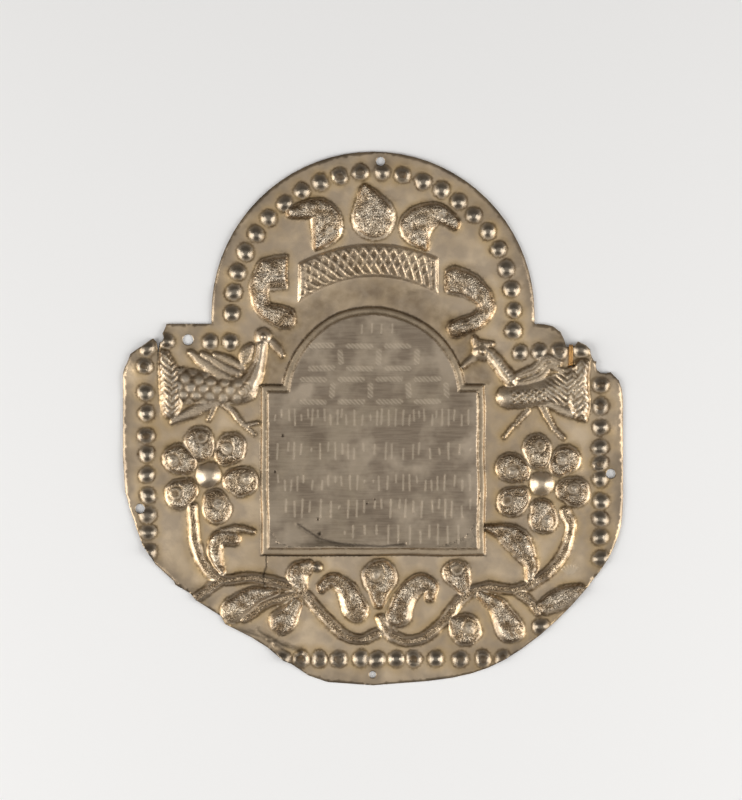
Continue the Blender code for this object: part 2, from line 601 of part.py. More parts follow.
def build_sheet():
    """The shield itself: its face is triangulated, then given the sheet's gauge."""
    outline = sheet_outline()
    holes = hole_loops()
    forms = all_forms()
    places, triangles = triangulate(outline, holes, forms)
    x, y = np.array(places).T
    back = back_height(x, y, forms)
    mesh = bmesh.new()
    face_points = [mesh.verts.new((px * MM, py * MM, (pz + SHEET_GAUGE) * MM)) for px, py, pz in zip(x, y, back)]
    for a, b, c in triangles:
        mesh.faces.new((face_points[a], face_points[b], face_points[c]))
    loose = [v for v in mesh.verts if not v.link_faces]
    bmesh.ops.delete(mesh, geom=loose, context="VERTS")
    extruded = bmesh.ops.extrude_face_region(mesh, geom=mesh.faces[:], use_keep_orig=True)
    back_points = [g for g in extruded["geom"] if isinstance(g, bmesh.types.BMVert)]
    bmesh.ops.translate(mesh, verts=back_points, vec=(0, 0, -SHEET_GAUGE * MM))
    bmesh.ops.triangulate(mesh, faces=[f for f in mesh.faces if len(f.verts) > 3])
    bmesh.ops.recalc_face_normals(mesh, faces=mesh.faces[:])
    data = bpy.data.meshes.new("shield_sheet")
    mesh.to_mesh(data)
    mesh.free()
    return add_object("shield_sheet", data, material("silver", SILVER, 0.35))


def raised_under_wire(centre_x, inner, outer):
    """How far the ornament rises under the turns of wire."""
    half = (WIRE_TURNS * WIRE_PITCH + WIRE_DIAMETER) / 2
    across = np.linspace(centre_x - half, centre_x + half, WIRE_SAMPLES)
    along = np.linspace(inner, outer, WIRE_SAMPLES)
    x, y = (grid.ravel() for grid in np.meshgrid(across, along))
    return float(np.max(back_height(x, y, all_forms()) - lift_height(x, y)))


def wire_route():
    """Turns of wire through the slot, over the torn edge and back under the sheet."""
    radius = WIRE_DIAMETER / 2
    centre_x, inner = shoulder_at(TIE_X, TIE_HOLE_Y)
    outer = at(0, TIE_EDGE_Y)[1] + WIRE_CLEARANCE + radius
    low = WIRE_FLOOR_GAP + radius
    lifted = WIRE_FLOOR_GAP + WIRE_DIAMETER + WIRE_CLEARANCE
    raised = max(raised_under_wire(centre_x, inner, outer), WIRE_CLEARANCE)
    high = lifted + SHEET_GAUGE + raised + WIRE_CLEARANCE + radius
    corners = [(inner, high, 90), (outer, high, 0), (outer, low, -90), (inner, low, 180)]
    loop = []
    for y, z, start in corners:
        inward_y = y + math.copysign(TIE_BEND, (inner + outer) / 2 - y)
        inward_z = z + math.copysign(TIE_BEND, (low + high) / 2 - z)
        sweep = (start + 90, start)
        loop += arc((inward_y, inward_z), TIE_BEND, sweep[0], sweep[1], 45)
    count = len(loop)
    route = []
    for i in range(count * WIRE_TURNS):
        y, z = loop[i % count]
        x = centre_x + WIRE_PITCH * (i / count - WIRE_TURNS / 2)
        route.append((x, y, z))
    return route


def build_wire():
    """The tie, a thin round wire."""
    curve = bpy.data.curves.new("repair_wire", "CURVE")
    curve.dimensions = "3D"
    curve.bevel_depth = WIRE_DIAMETER / 2 * MM
    curve.bevel_resolution = 1
    curve.use_fill_caps = True
    spline = curve.splines.new("POLY")
    route = wire_route()
    spline.points.add(len(route) - 1)
    for point, (x, y, z) in zip(spline.points, route):
        point.co = (x * MM, y * MM, z * MM, 1)
    return add_object("repair_wire", curve, material("wire", GILT_WIRE, 0.4))


for leftover in list(bpy.data.objects):
    bpy.data.objects.remove(leftover)
build_sheet()
build_wire()
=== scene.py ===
# %% [markdown]
# # A torah shield of chased silver
# The real object is one thin sheet of silver. Its ornament was pushed up from behind with punches
# and then drawn sharp from the front with a chaser's tools, and two centuries have left it with
# dents, a torn shoulder, brown dirt in its grooves and a soft yellow-grey tarnish.
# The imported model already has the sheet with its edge, holes and main forms. This script keeps
# that frame and dresses it: a much finer sheet with the chaser's marks, and its aged metal.

import math
import random

import bmesh
import bpy
import numpy as np
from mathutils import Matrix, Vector
from mathutils.kdtree import KDTree


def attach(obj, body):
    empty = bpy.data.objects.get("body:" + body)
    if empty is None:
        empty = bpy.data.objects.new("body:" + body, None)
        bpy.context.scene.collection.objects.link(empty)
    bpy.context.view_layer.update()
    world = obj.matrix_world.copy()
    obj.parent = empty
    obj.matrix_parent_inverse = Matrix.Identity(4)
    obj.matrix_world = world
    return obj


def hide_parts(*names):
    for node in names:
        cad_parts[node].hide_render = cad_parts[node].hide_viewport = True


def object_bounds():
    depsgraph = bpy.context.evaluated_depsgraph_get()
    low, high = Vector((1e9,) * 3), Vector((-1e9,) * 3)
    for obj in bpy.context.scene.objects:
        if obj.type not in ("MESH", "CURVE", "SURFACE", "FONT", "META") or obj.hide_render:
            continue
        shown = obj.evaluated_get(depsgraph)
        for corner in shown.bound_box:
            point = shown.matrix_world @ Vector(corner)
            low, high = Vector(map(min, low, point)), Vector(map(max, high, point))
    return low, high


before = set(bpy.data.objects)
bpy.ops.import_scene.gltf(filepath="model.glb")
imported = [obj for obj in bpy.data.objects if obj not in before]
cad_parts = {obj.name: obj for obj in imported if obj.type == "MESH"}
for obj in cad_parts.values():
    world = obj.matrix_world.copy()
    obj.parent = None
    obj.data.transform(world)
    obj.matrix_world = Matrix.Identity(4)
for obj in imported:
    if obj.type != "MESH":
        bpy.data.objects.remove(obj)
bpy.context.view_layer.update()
print("frame:", sorted(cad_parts))

# %% [markdown]
# ## Sizes
# All lengths here are in millimetres, X across the shield, Y up it and Z out of its face, as in
# the CAD source. A single factor turns them into Blender's metres when a mesh is written. The sizes
# here are the frame's own and are shared by several steps. The others stand where they're used.

# %% Sizes that several steps share
MM = 0.001
GAUGE = 0.6
ARCH_RADIUS = 77.5
TOP = 128.0
PANEL_HALF_WIDTH = 53.8
PANEL_BOTTOM = -65.8
PANEL_SHOULDER = 16.1
PANEL_ARCH = (0.5, 8.8, 44.7)
PANEL_BAND = 3.8
PANEL_STEP = 0.8
CROWN_BAND = (59.0, 75.2)
CROWN_BAND_ENDS = (-36.0, 31.5)
# Place across the sheet of the wire tie, and the lower and the upper end of its turns
TIE = (95.0, 25.4, 34.6)
WIRE_DIAMETER = 0.56
WIRE_CLEARANCE = 0.35
WIRE_FLOOR_GAP = 0.05
# Centre and radius of each hole that a nail or a hook went through
HOLES = ((3.6, 123.4, 2.15), (-88.8, 37.8, 2.6), (-111.8, -43.2, 2.3), (114.1, -26.5, 2.3),
         (-0.2, -122.9, 1.7))
print("panel", 2 * PANEL_HALF_WIDTH, "mm wide,", len(HOLES), "holes")

# %% [markdown]
# ## The chaser's forms
# Nearly every raised form here was made the same way: a rounded punch was walked along a line, so
# the form is a ridge that follows a curve and grows wider or narrower on the way. Each form is
# therefore one line of knots, with the form's half width at each knot, and a smooth curve is drawn
# through them. A bead is the same thing with a single knot.

# %% Forms that follow a curve
FORMS = []


def add_form(finish, rise, *knots, cut=None, turn=0.0):
    """Note one raised form: the finish of its top, its height and its (x, y, half width) knots."""
    FORMS.append({"finish": finish, "rise": rise, "knots": knots, "cut": cut, "turn": turn})


def smooth_path(knots, steps=12):
    """Points of a Catmull-Rom curve through the knots, each as x, y and half width."""
    line = np.array(knots, float)
    if len(line) == 1:
        return line
    ends = np.vstack([2 * line[0] - line[1], line, 2 * line[-1] - line[-2]])
    points = []
    for i in range(1, len(ends) - 2):
        a, b, c, d = ends[i - 1:i + 3]
        for step in range(steps):
            t = step / steps
            points.append(0.5 * (2 * b + (c - a) * t + (2 * a - 5 * b + 4 * c - d) * t ** 2
                                 + (3 * b - a - 3 * c + d) * t ** 3))
    return np.array(points + [line[-1]])


# %% [markdown]
# ### Beads
# The border is a row of beads, each one blow of a round punch. The smith worked by eye, so the
# steps between blows vary. The rows are the same as in the frame. Some beads took a second blow
# that flattened or ringed them, and those are picked out by their number.

# %% Beads round the border
BEAD_RADIUS = 3.7
BEAD_RISE = 1.8
BEAD_INSET = 9.8
ARCH_BEADS = 23
ARCH_BEAD_START = 180.0
ARCH_BEAD_END = -7.0
# Each row is its first bead, its last bead and how far each blow wandered along the row
BEAD_ROWS = {
    "left side": ((-109.4, 25.2), (-107.8, -64.2), (0, 2.8, 2.7, 3.5, 2.7, 2.5, 2.7, 1.9, 0.3, 0)),
    "right side": ((109.2, 16.1), (109.2, -67.4), (0, 0.6, 1.8, 2.2, 0.8, -1.5, 0, -0.7, -1.2, 0)),
    "bottom": ((-43.2, -115.4), (62.2, -115.4),
               (0, -1, -1.7, -2, -1, -2.8, -3.4, -4.2, -3.3, -1.7, 0, 0)),
    "left shoulder": ((-98.9, 37.2), (-68.4, 36.6), (0, 5.3, 0)),
    "right shoulder": ((70.5, 31.6), (99.9, 33.0), (0, -0.4, -0.6, 0)),
    "stray": ((-108.4, 33.6), (80.6, -99.8), (0, 0)),
}
RINGED_ARCH_BEADS = (9, 10, 12)
RINGED_SIDE_BEADS = {"left side": (0, 3), "right side": (0, 1, 4), "right shoulder": (2,),
                     "bottom": (1, 2, 3, 7, 9, 10, 11)}

for number in range(ARCH_BEADS):
    share = number / (ARCH_BEADS - 1)
    angle = math.radians(ARCH_BEAD_START + (ARCH_BEAD_END - ARCH_BEAD_START) * share)
    reach = ARCH_RADIUS - BEAD_INSET
    across, up = reach * math.cos(angle), TOP - ARCH_RADIUS + reach * math.sin(angle)
    finish = "ringed bead" if number in RINGED_ARCH_BEADS else "bead"
    add_form(finish, BEAD_RISE, (across, up, BEAD_RADIUS))
for row, (start, end, wander) in BEAD_ROWS.items():
    span = Vector(end) - Vector(start)
    along = span.normalized()
    for number, shift in enumerate(wander):
        place = Vector(start) + span * number / (len(wander) - 1) + along * shift
        finish = "ringed bead" if number in RINGED_SIDE_BEADS.get(row, ()) else "bead"
        add_form(finish, BEAD_RISE, (place.x, place.y, BEAD_RADIUS))
print("beads:", len(FORMS))

# %% [markdown]
# ### Crown
# The crown is a curved band with three stippled plumes over it and a hooked leaf at each end. The
# knots of every form are the frame's own, so the fine sheet follows it, and each form also names the
# finish that the chaser gave its top. A cut is a straight edge that ends a form.

# %% Crown
add_form("plume", 2.9, (-26.8, 82.8, 1.6), (-22.0, 91.5, 7.4), (-25.9, 100.2, 5.4), (-38.6, 98.6, 2.6))
add_form("plume", 2.9, (0.4, 96.2, 10.4), (-2.0, 104.5, 6.0), (-4.2, 111.4, 1.0))
add_form("plume", 2.9, (24.8, 82.2, 1.6), (20.6, 92.4, 7.6), (30.4, 98.6, 4.8), (39.0, 93.6, 2.4))
add_form("hook", 2.9, (-42.6, 70.2, 8.2), (-48.0, 69.6, 8.0), cut=(-41.1, 1))
add_form("hook", 2.9, (-50.0, 70.4, 6.6), (-54.8, 61.6, 4.4), (-52.0, 52.4, 3.6), (-42.6, 48.4, 5.2))
add_form("hook", 2.9, (39.6, 66.0, 6.6), (47.0, 63.0, 5.8), (54.0, 56.2, 4.2), (51.0, 48.0, 3.8),
         (40.4, 43.2, 4.4), cut=(35.0, -1))

print("forms with the crown:", len(FORMS))

# %% [markdown]
# ### Birds
# Two birds face the crown. Each is built up as a maker would draw it: a round head, a bent neck, a
# body and a tail that ends in a straight edge, and then thin ridges for the wing, the legs and claws.

# %% Left bird
add_form("eye", 3.0, (-52.6, 39.1, 3.9))
add_form("beak", 1.0, (-49.0, 37.0, 1.8), (-46.2, 33.5, 1.8), (-43.6, 30.0, 0.9))
add_form("tuft", 1.3, (-58.6, 34.2, 1.6), (-60.6, 30.6, 3.2), (-62.8, 26.6, 1.4))
add_form("neck", 3.0, (-53.2, 35.6, 2.4), (-54.2, 28.0, 2.4), (-57.2, 20.0, 3.8), (-61.2, 13.4, 5.6))
add_form("scales", 2.5, (-62.7, 13.2, 5.6), (-77.0, 14.0, 7.4), (-91.0, 15.4, 8.4))
add_form("barred", 3.0, (-100.4, 29.6, 3.0), (-97.0, 16.0, 6.0), (-97.2, 4.0, 4.2), cut=(-102.6, -1))
add_form("feather", 1.0, (-76.0, 8.0, 1.8), (-86.0, 3.4, 2.6), (-96.4, -1.4, 1.4))
add_form("feather", 1.0, (-87.4, 31.4, 1.3), (-80.0, 25.4, 2.2), (-70.0, 19.8, 1.8))
add_form("feather", 1.0, (-82.0, 30.8, 1.3), (-74.0, 26.0, 2.1), (-65.0, 21.6, 1.7))
add_form("feather", 1.0, (-76.0, 30.6, 1.3), (-69.0, 28.0, 1.9), (-62.6, 24.2, 1.4))
add_form("leg", 0.65, (-75.0, 8.4, 1.3), (-77.0, 4.0, 1.1), (-79.4, -0.4, 0.9))
add_form("leg", 0.65, (-71.0, 7.4, 1.4), (-66.0, 2.4, 1.2), (-61.8, -3.2, 1.0))
add_form("leg", 0.65, (-61.8, -3.2, 1.0), (-55.4, -2.0, 0.7))
add_form("leg", 0.65, (-61.8, -3.2, 1.0), (-57.0, -7.6, 0.7))

print("forms with the left bird:", len(FORMS))

# %% Right bird
add_form("eye", 3.0, (52.2, 31.6, 4.2))
add_form("tuft", 1.3, (48.6, 38.8, 0.9), (50.4, 35.6, 2.0), (57.4, 35.6, 1.0))
add_form("beak", 1.0, (48.6, 29.0, 1.9), (43.4, 24.6, 0.9))
add_form("ladder", 3.0, (56.4, 30.4, 3.0), (61.4, 24.6, 3.2), (66.0, 18.4, 3.2))
add_form("breast", 3.0, (65.0, 10.4, 5.4), (80.6, 12.0, 6.2), (95.6, 15.8, 8.6), cut=(103.6, 1))
add_form("barred", 3.0, (100.4, 24.8, 3.4), (98.4, 14.6, 6.4), (99.6, 3.6, 4.2), cut=(103.6, 1))
add_form("feather", 1.0, (84.0, 6.4, 1.4), (92.0, 4.0, 2.2), (102.0, 0.0, 1.2), cut=(103.6, 1))
add_form("quill", 1.1, (67.6, 20.0, 1.4), (77.4, 23.8, 2.0), (82.6, 28.6, 1.7), (89.4, 27.0, 1.3))
add_form("quill", 1.1, (70.4, 17.4, 1.4), (80.0, 20.2, 2.0), (84.4, 25.0, 1.6), (90.4, 23.4, 1.3))
add_form("leg", 0.65, (81.4, 5.6, 1.5), (83.8, 0.0, 1.2), (87.0, -5.2, 0.9))
add_form("leg", 0.65, (87.0, -5.2, 0.9), (91.2, -9.2, 0.8))
add_form("leg", 0.65, (74.4, 4.0, 1.2), (68.6, -3.2, 0.9))
add_form("leg", 0.65, (67.8, -3.6, 0.8), (63.0, -9.0, 0.6))

print("forms with both birds:", len(FORMS))

# %% [markdown]
# ### Flowers
# A flower is a round boss with six petals round it. The petals stand at uneven angles, read from
# the real ones, and each is a short form that widens from its foot to its head.

# %% Flowers
PETAL_RING = 16.8
PETAL_RADIUS = 6.9
PETAL_FOOT_INSET = 0.6
PETAL_FOOT_WIDTH = 0.78
# Each flower's centre, and the angle of each of its petals
FLOWERS = {
    (-78.8, -26.9): (50, 106, 153, 214, 284, 348),
    (80.8, -31.4): (44, 97, 152, 211, 273, 347),
}
for (cx, cy), angles in FLOWERS.items():
    add_form("boss", 3.3, (cx, cy, 5.7))
    for degrees in angles:
        out = (math.cos(math.radians(degrees)), math.sin(math.radians(degrees)))
        near = PETAL_RING - PETAL_RADIUS * PETAL_FOOT_INSET
        foot = (cx + near * out[0], cy + near * out[1], PETAL_RADIUS * PETAL_FOOT_WIDTH)
        head = (cx + PETAL_RING * out[0], cy + PETAL_RING * out[1], PETAL_RADIUS)
        add_form("petal", 2.5, foot, head, turn=degrees)

print("forms with the flowers:", len(FORMS))

# %% [markdown]
# ### Vine
# The vine leaves each flower, swings down and meets the other in the middle under the panel. Its
# stem keeps one width, so that width is named once, and its leaves are forms of uneven width.

# %% Stems
STEM = 2.3
add_form("stem", 1.6, (-86.7, -42.6, STEM), (-85.8, -55.4, STEM), (-82.2, -69.2, STEM),
         (-72.0, -77.2, STEM), (-58.0, -76.6, STEM), (-43.6, -79.0, STEM), (-33.5, -84.2, STEM),
         (-25.2, -93.1, STEM), (-16.0, -102.3, STEM), (-6.6, -106.0, STEM), (1.6, -103.4, STEM))
add_form("stem", 1.6, (-73.0, -77.8, STEM), (-84.0, -85.6, STEM))
add_form("stem", 1.6, (-61.9, -96.4, 1.4), (-50.0, -88.4, STEM), (-38.0, -84.8, STEM))
add_form("stem", 1.6, (4.0, -96.0, STEM), (8.0, -103.4, STEM), (16.7, -106.9, STEM),
         (26.4, -103.8, STEM), (35.4, -95.6, STEM), (42.8, -85.8, STEM), (54.0, -80.7, STEM),
         (67.0, -82.2, STEM), (76.8, -79.0, STEM), (86.0, -71.8, STEM), (92.2, -62.8, STEM),
         (94.8, -52.7, STEM), (92.5, -44.4, STEM))
add_form("stem", 1.6, (68.0, -82.4, STEM), (75.0, -87.6, 1.8), (79.6, -93.4, 1.2))
print("forms with the stems:", len(FORMS))

# %% Leaves
add_form("leaf", 2.6, (-72.6, -73.6, 1.2), (-76.0, -64.4, 3.2), (-74.2, -58.0, 3.8),
         (-67.6, -57.4, 3.4))
add_form("tuft", 1.3, (-72.0, -53.6, 1.2), (-65.0, -52.8, 1.3), (-57.8, -54.4, 1.0))
add_form("leaf", 2.6, (-46.0, -82.6, 1.6), (-57.4, -85.4, 4.2), (-67.0, -92.2, 5.8))
add_form("leaf", 2.6, (-37.4, -89.0, 3.2), (-43.4, -97.6, 5.8))
add_form("leaf", 2.6, (-34.4, -82.4, 2.0), (-36.2, -74.4, 5.0), (-30.6, -70.4, 2.6))
add_form("bead", 2.2, (-27.0, -71.2, 2.2))
add_form("leaf", 2.6, (-24.8, -81.2, 2.2), (-19.6, -77.6, 3.0), (-13.0, -82.0, 4.4), (-8.4, -91.6, 6.0))
add_form("petal", 2.6, (3.0, -88.4, 2.0), (3.0, -82.0, 4.8), (3.0, -76.0, 8.4), turn=90)
add_form("leaf", 2.6, (12.0, -94.2, 5.8), (15.6, -86.0, 4.8), (22.0, -78.8, 4.4), (27.6, -80.6, 3.2),
         (27.2, -85.0, 2.4))
add_form("petal", 2.6, (44.0, -83.4, 2.2), (39.8, -74.2, 6.2), turn=115)
add_form("leaf", 2.6, (54.6, -52.4, 1.0), (62.6, -55.2, 4.0), (69.4, -59.6, 6.2), (75.2, -68.6, 3.2),
         (75.6, -77.0, 1.8))
add_form("leaf", 2.6, (83.0, -90.2, 3.8), (92.4, -85.4, 5.0), (99.2, -82.0, 2.6))
add_form("leaf", 2.6, (52.0, -84.4, 2.2), (60.0, -90.6, 4.4), (66.0, -101.0, 6.6))
add_form("petal", 2.6, (37.4, -96.6, 1.4), (44.2, -101.2, 7.6), turn=-30)
print("raised forms:", len(FORMS))

# %% [markdown]
# ## The inscription's place
# The raised panel carried words. Words aren't copied here, so their place holds rows of plain
# strokes that never join into a sign. The two upper rows are broad bars filled with hatching, lying
# in pairs with a short bar between, and the lower rows are thin upright scratches of uneven height.

# %% Strokes on the panel
# Each small row is its foot, its top, its left and right end and the mean step from bar to bar
SMALL_ROWS = (
    (-3.4, 4.4, -48.5, 49.0, 3.2),
    (-19.6, -11.6, -48.0, 49.0, 4.4),
    (-34.6, -27.0, -47.5, 48.5, 4.0),
    (-47.6, -38.8, -44.0, 48.5, 4.4),
    (-60.2, -50.8, -16.0, 47.0, 4.8),
)
# Each broad row is its foot, its top and its left and right end, and each tick is its foot
BROAD_ROWS = ((22.6, 36.0, -30.0, 24.0), (6.6, 20.0, -34.0, 34.0))
TICKS = ((-5.4, 40.6), (-0.6, 41.2), (4.0, 40.8), (9.2, 41.0))
TICK_HEIGHT = 4.2
THIN_HALF_WIDTH = 0.24
BROAD_HALF_WIDTH = 1.3
BROAD_LENGTH = 10.5
BROAD_GAP = 2.6
SHORT_BAR = 5.0
chance = random.Random(11)
print("rows:", len(SMALL_ROWS), "small and", len(BROAD_ROWS), "broad")


# %% Rows of scratches and of broad bars
def small_row(foot, head, left, right, step):
    """Upright and leaning scratches of uneven height, none touching the next."""
    strokes = []
    x = left + step * 0.5
    tall = head - foot
    while x < right - step * 0.4:
        low = foot + tall * chance.choice((0.0, 0.0, 0.05, 0.3, 0.5))
        high = head - tall * chance.choice((0.0, 0.05, 0.1, 0.35))
        lean = chance.choice((-0.1, 0.0, 0.1, 0.2))
        strokes.append((x - lean, low, x + lean, high, THIN_HALF_WIDTH))
        x += step * chance.uniform(0.6, 1.25)
    return strokes


def broad_row(foot, head, left, right):
    """Broad hatched bars: pairs that lie one over the other, and a short standing one between pairs."""
    strokes = []
    x = left
    middle = (foot + head) / 2
    while x < right:
        lean = chance.uniform(-0.3, 0.3)
        for level in (head - BROAD_HALF_WIDTH, foot + BROAD_HALF_WIDTH):
            strokes.append((x, level, x + BROAD_LENGTH, level - lean, BROAD_HALF_WIDTH))
        x += BROAD_LENGTH + BROAD_GAP + BROAD_HALF_WIDTH
        low, high = middle - SHORT_BAR / 2, middle + SHORT_BAR / 2
        strokes.append((x - lean, low, x + lean, high, BROAD_HALF_WIDTH))
        x += BROAD_GAP + BROAD_HALF_WIDTH
    return strokes


MARKS = [mark for row in SMALL_ROWS for mark in small_row(*row)]
BROAD_MARKS = [mark for row in BROAD_ROWS for mark in broad_row(*row)]
TICK_MARKS = [(x, y, x + 0.3, y + TICK_HEIGHT, THIN_HALF_WIDTH) for x, y in TICKS]
print("engraved strokes:", len(MARKS) + len(BROAD_MARKS) + len(TICK_MARKS))

# %% [markdown]
# ## Damage
# Dents, folds, cracks and pinholes are part of the object's history and stay. Each is a short
# polyline. A crack becomes a narrow and dark groove, a fold a broad soft ridge, the buckle a groove
# along the panel's sunk corner, and a pinhole one dark point. A few single ring marks and a small
# engraved tuft of six strokes stand alone on the sheet.

# %% Cracks, folds and pinholes
CRACKS = [
    [(-51.5, -65.4), (-51.2, -70.5), (-52.6, -75.2), (-52.0, -80.0)],
    [(-101.6, 44.0), (-103.0, 31.9), (-102.6, 24.0)],
]
FOLDS = [
    [(-67.7, -100.1), (-50.0, -105.8), (-34.6, -112.0), (-38.9, -117.8)],
    [(-55.0, -101.5), (-47.0, -108.0), (-40.0, -113.0)],
]
BUCKLE = [(-36.0, -50.6), (-25.6, -57.7), (-16.1, -60.1), (4.6, -61.3), (15.0, -60.1)]
PINHOLES = [(-43.2, -8.1, 0.8), (-46.8, -25.5, 0.7), (-26.4, -48.2, 0.7), (-25.6, -55.4, 1.1),
            (-2.9, -40.5, 0.6), (0.9, -38.7, 0.45)]
RINGED_DOTS = [(-20.6, 90.0, 1.3), (-14.9, 90.4, 1.3), (32.6, 97.6, 1.5), (8.4, 98.4, 1.2),
               (-27.0, -71.2, 1.2)]
TUFT_CENTRE = (94.8, -75.6)
TUFT_START, TUFT_END = 1.4, 5.2
TUFT_HALF_WIDTH = 0.4
TUFT_STROKES = [(TUFT_CENTRE[0] + TUFT_START * math.cos(a), TUFT_CENTRE[1] + TUFT_START * math.sin(a),
                 TUFT_CENTRE[0] + TUFT_END * math.cos(a), TUFT_CENTRE[1] + TUFT_END * math.sin(a),
                 TUFT_HALF_WIDTH)
                for a in np.radians((50, 68, 86, 104, 122, 140))]
print("cracks and folds:", len(CRACKS) + len(FOLDS), "pinholes:", len(PINHOLES))

# %% [markdown]
# ## How fine the sheet has to be
# A mesh that is fine everywhere would be far too heavy. So a map says how long a triangle's side may
# be at each place: short on the chased forms and the engraved strokes, and longer with distance from
# them. The map is a plain grid, and every form lowers it in a small window round itself.

# %% Map of wanted triangle sizes
MAP_STEP = 0.5
MAP_REACH = 130.0
MAP_SIZE = int(2 * MAP_REACH / MAP_STEP) + 1
PLAIN_LENGTH = 3.6
FORM_LENGTH = 1.1
BEAD_LENGTH = 1.15
STROKE_LENGTH = 0.72
CREASE_LENGTH = 1.35
GROWTH = 0.7
size_map = np.full((MAP_SIZE, MAP_SIZE), PLAIN_LENGTH)


def want_fine(x, y, radius, length):
    """Ask for short sides inside a circle, growing longer outside it."""
    reach = radius + (PLAIN_LENGTH - length) / GROWTH
    first_i = max(int((x + MAP_REACH - reach) / MAP_STEP), 0)
    last_i = min(int((x + MAP_REACH + reach) / MAP_STEP) + 2, MAP_SIZE)
    first_j = max(int((y + MAP_REACH - reach) / MAP_STEP), 0)
    last_j = min(int((y + MAP_REACH + reach) / MAP_STEP) + 2, MAP_SIZE)
    across = np.arange(first_i, last_i) * MAP_STEP - MAP_REACH - x
    up = np.arange(first_j, last_j) * MAP_STEP - MAP_REACH - y
    outside = np.maximum(np.hypot(*np.meshgrid(across, up, indexing="ij")) - radius, 0)
    window = size_map[first_i:last_i, first_j:last_j]
    np.minimum(window, length + GROWTH * outside, out=window)


def want_fine_line(ax, ay, bx, by, radius, length):
    """The same along a straight line."""
    count = max(1, math.ceil(math.hypot(bx - ax, by - ay) / max(radius, 0.6)))
    for i in range(count + 1):
        want_fine(ax + (bx - ax) * i / count, ay + (by - ay) * i / count, radius, length)


# %% Ask for short sides on the ornament
for form in FORMS:
    path = smooth_path(form["knots"], 5)
    length = BEAD_LENGTH if "bead" in form["finish"] or form["finish"] == "boss" else FORM_LENGTH
    for x, y, radius in path:
        want_fine(x, y, radius + 0.8, length)
for ax, ay, bx, by, half in MARKS + BROAD_MARKS + TICK_MARKS + TUFT_STROKES:
    want_fine_line(ax, ay, bx, by, half + 0.3, STROKE_LENGTH)
for line in CRACKS + FOLDS + [BUCKLE]:
    for (ax, ay), (bx, by) in zip(line, line[1:]):
        want_fine_line(ax, ay, bx, by, 0.8, FORM_LENGTH)
for x, y, radius in PINHOLES:
    want_fine(x, y, radius + 0.5, STROKE_LENGTH)
for x, y, radius in HOLES:
    want_fine(x, y, radius + 0.3, STROKE_LENGTH)
band_middle = sum(CROWN_BAND) / 2
for x in np.arange(CROWN_BAND_ENDS[0], CROWN_BAND_ENDS[1] + 1, 3.0):
    y = PANEL_ARCH[1] + math.sqrt(band_middle ** 2 - (x - PANEL_ARCH[0]) ** 2)
    want_fine(x, y, (CROWN_BAND[1] - CROWN_BAND[0]) / 2 + 1.0, FORM_LENGTH)
print("share of the map that is fine:", round(float((size_map < PLAIN_LENGTH).mean()), 2))


def wanted_length(x, y):
    """Longest side that the map allows at each point."""
    i = np.clip(np.round((x + MAP_REACH) / MAP_STEP).astype(int), 0, MAP_SIZE - 1)
    j = np.clip(np.round((y + MAP_REACH) / MAP_STEP).astype(int), 0, MAP_SIZE - 1)
    return size_map[i, j]


# %% [markdown]
# ### The panel's edges
# The panel is a block with an arch on it. Its distance function gives the depth of any point inside
# its edge, and the creases at its foot and at its top are lines of equal depth. Both must stay
# crisp, so the map asks for short sides along them too.

# %% Panel and crown band as distances
def panel_depth(x, y):
    """How far a point lies inside the panel's edge."""
    cx, cy, radius = PANEL_ARCH
    block = np.maximum(np.abs(x) - PANEL_HALF_WIDTH, np.maximum(y - PANEL_SHOULDER, PANEL_BOTTOM - y))
    return -np.minimum(block, np.hypot(x - cx, y - cy) - radius)


def band_depth(x, y):
    """How far a point lies inside the crown's curved band."""
    cx, cy, _ = PANEL_ARCH
    radius = np.hypot(x - cx, y - cy)
    depth = np.minimum(np.minimum(radius - CROWN_BAND[0], CROWN_BAND[1] - radius),
                       np.minimum(x - CROWN_BAND_ENDS[0], CROWN_BAND_ENDS[1] - x))
    return np.where(y > cy, depth, -9.0)


PANEL_CREASES = (0.0, PANEL_STEP, PANEL_BAND - PANEL_STEP, PANEL_BAND)
centres = np.arange(MAP_SIZE) * MAP_STEP - MAP_REACH
depth_map = panel_depth(*np.meshgrid(centres, centres, indexing="ij"))
for crease in PANEL_CREASES:
    outside = np.maximum(np.abs(depth_map - crease) - 1.0, 0)
    np.minimum(size_map, CREASE_LENGTH + GROWTH * outside, out=size_map)
print("creases round the panel:", len(PANEL_CREASES))

# %% [markdown]
# ## The fine sheet
# The frame's sheet is copied and its doubles are merged. The copy is pressed flat, front and back,
# and then refined: every side that is longer than the map allows is cut in two, the triangles are
# turned to better shapes, and the loose points are evened out. All of this is done by Blender's own
# mesh operators. The sheet's edge and the panel's creases keep their points throughout, and new
# points on a hole's rim are set on its circle.

# %% Copy and flatten the sheet
fine = bmesh.new()
fine.from_mesh(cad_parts["shield_sheet"].data)
bmesh.ops.remove_doubles(fine, verts=fine.verts, dist=0.000002)
fine.normal_update()
FRONT_Z = GAUGE * MM
front_verts = {v for f in fine.faces if f.normal.z > 0.02 for v in f.verts}
for v in fine.verts:
    v.co.z = FRONT_Z if v in front_verts else 0.0
print("frame's sheet:", len(fine.verts), "points")

# %% Cut the long sides
BACK_RATIO = 3.2
BACK_SHORTEST = 3.2


def is_wall(face):
    """Whether a face joins the front and the back."""
    heights = [v.co.z > FRONT_Z / 2 for v in face.verts]
    return any(heights) and not all(heights)


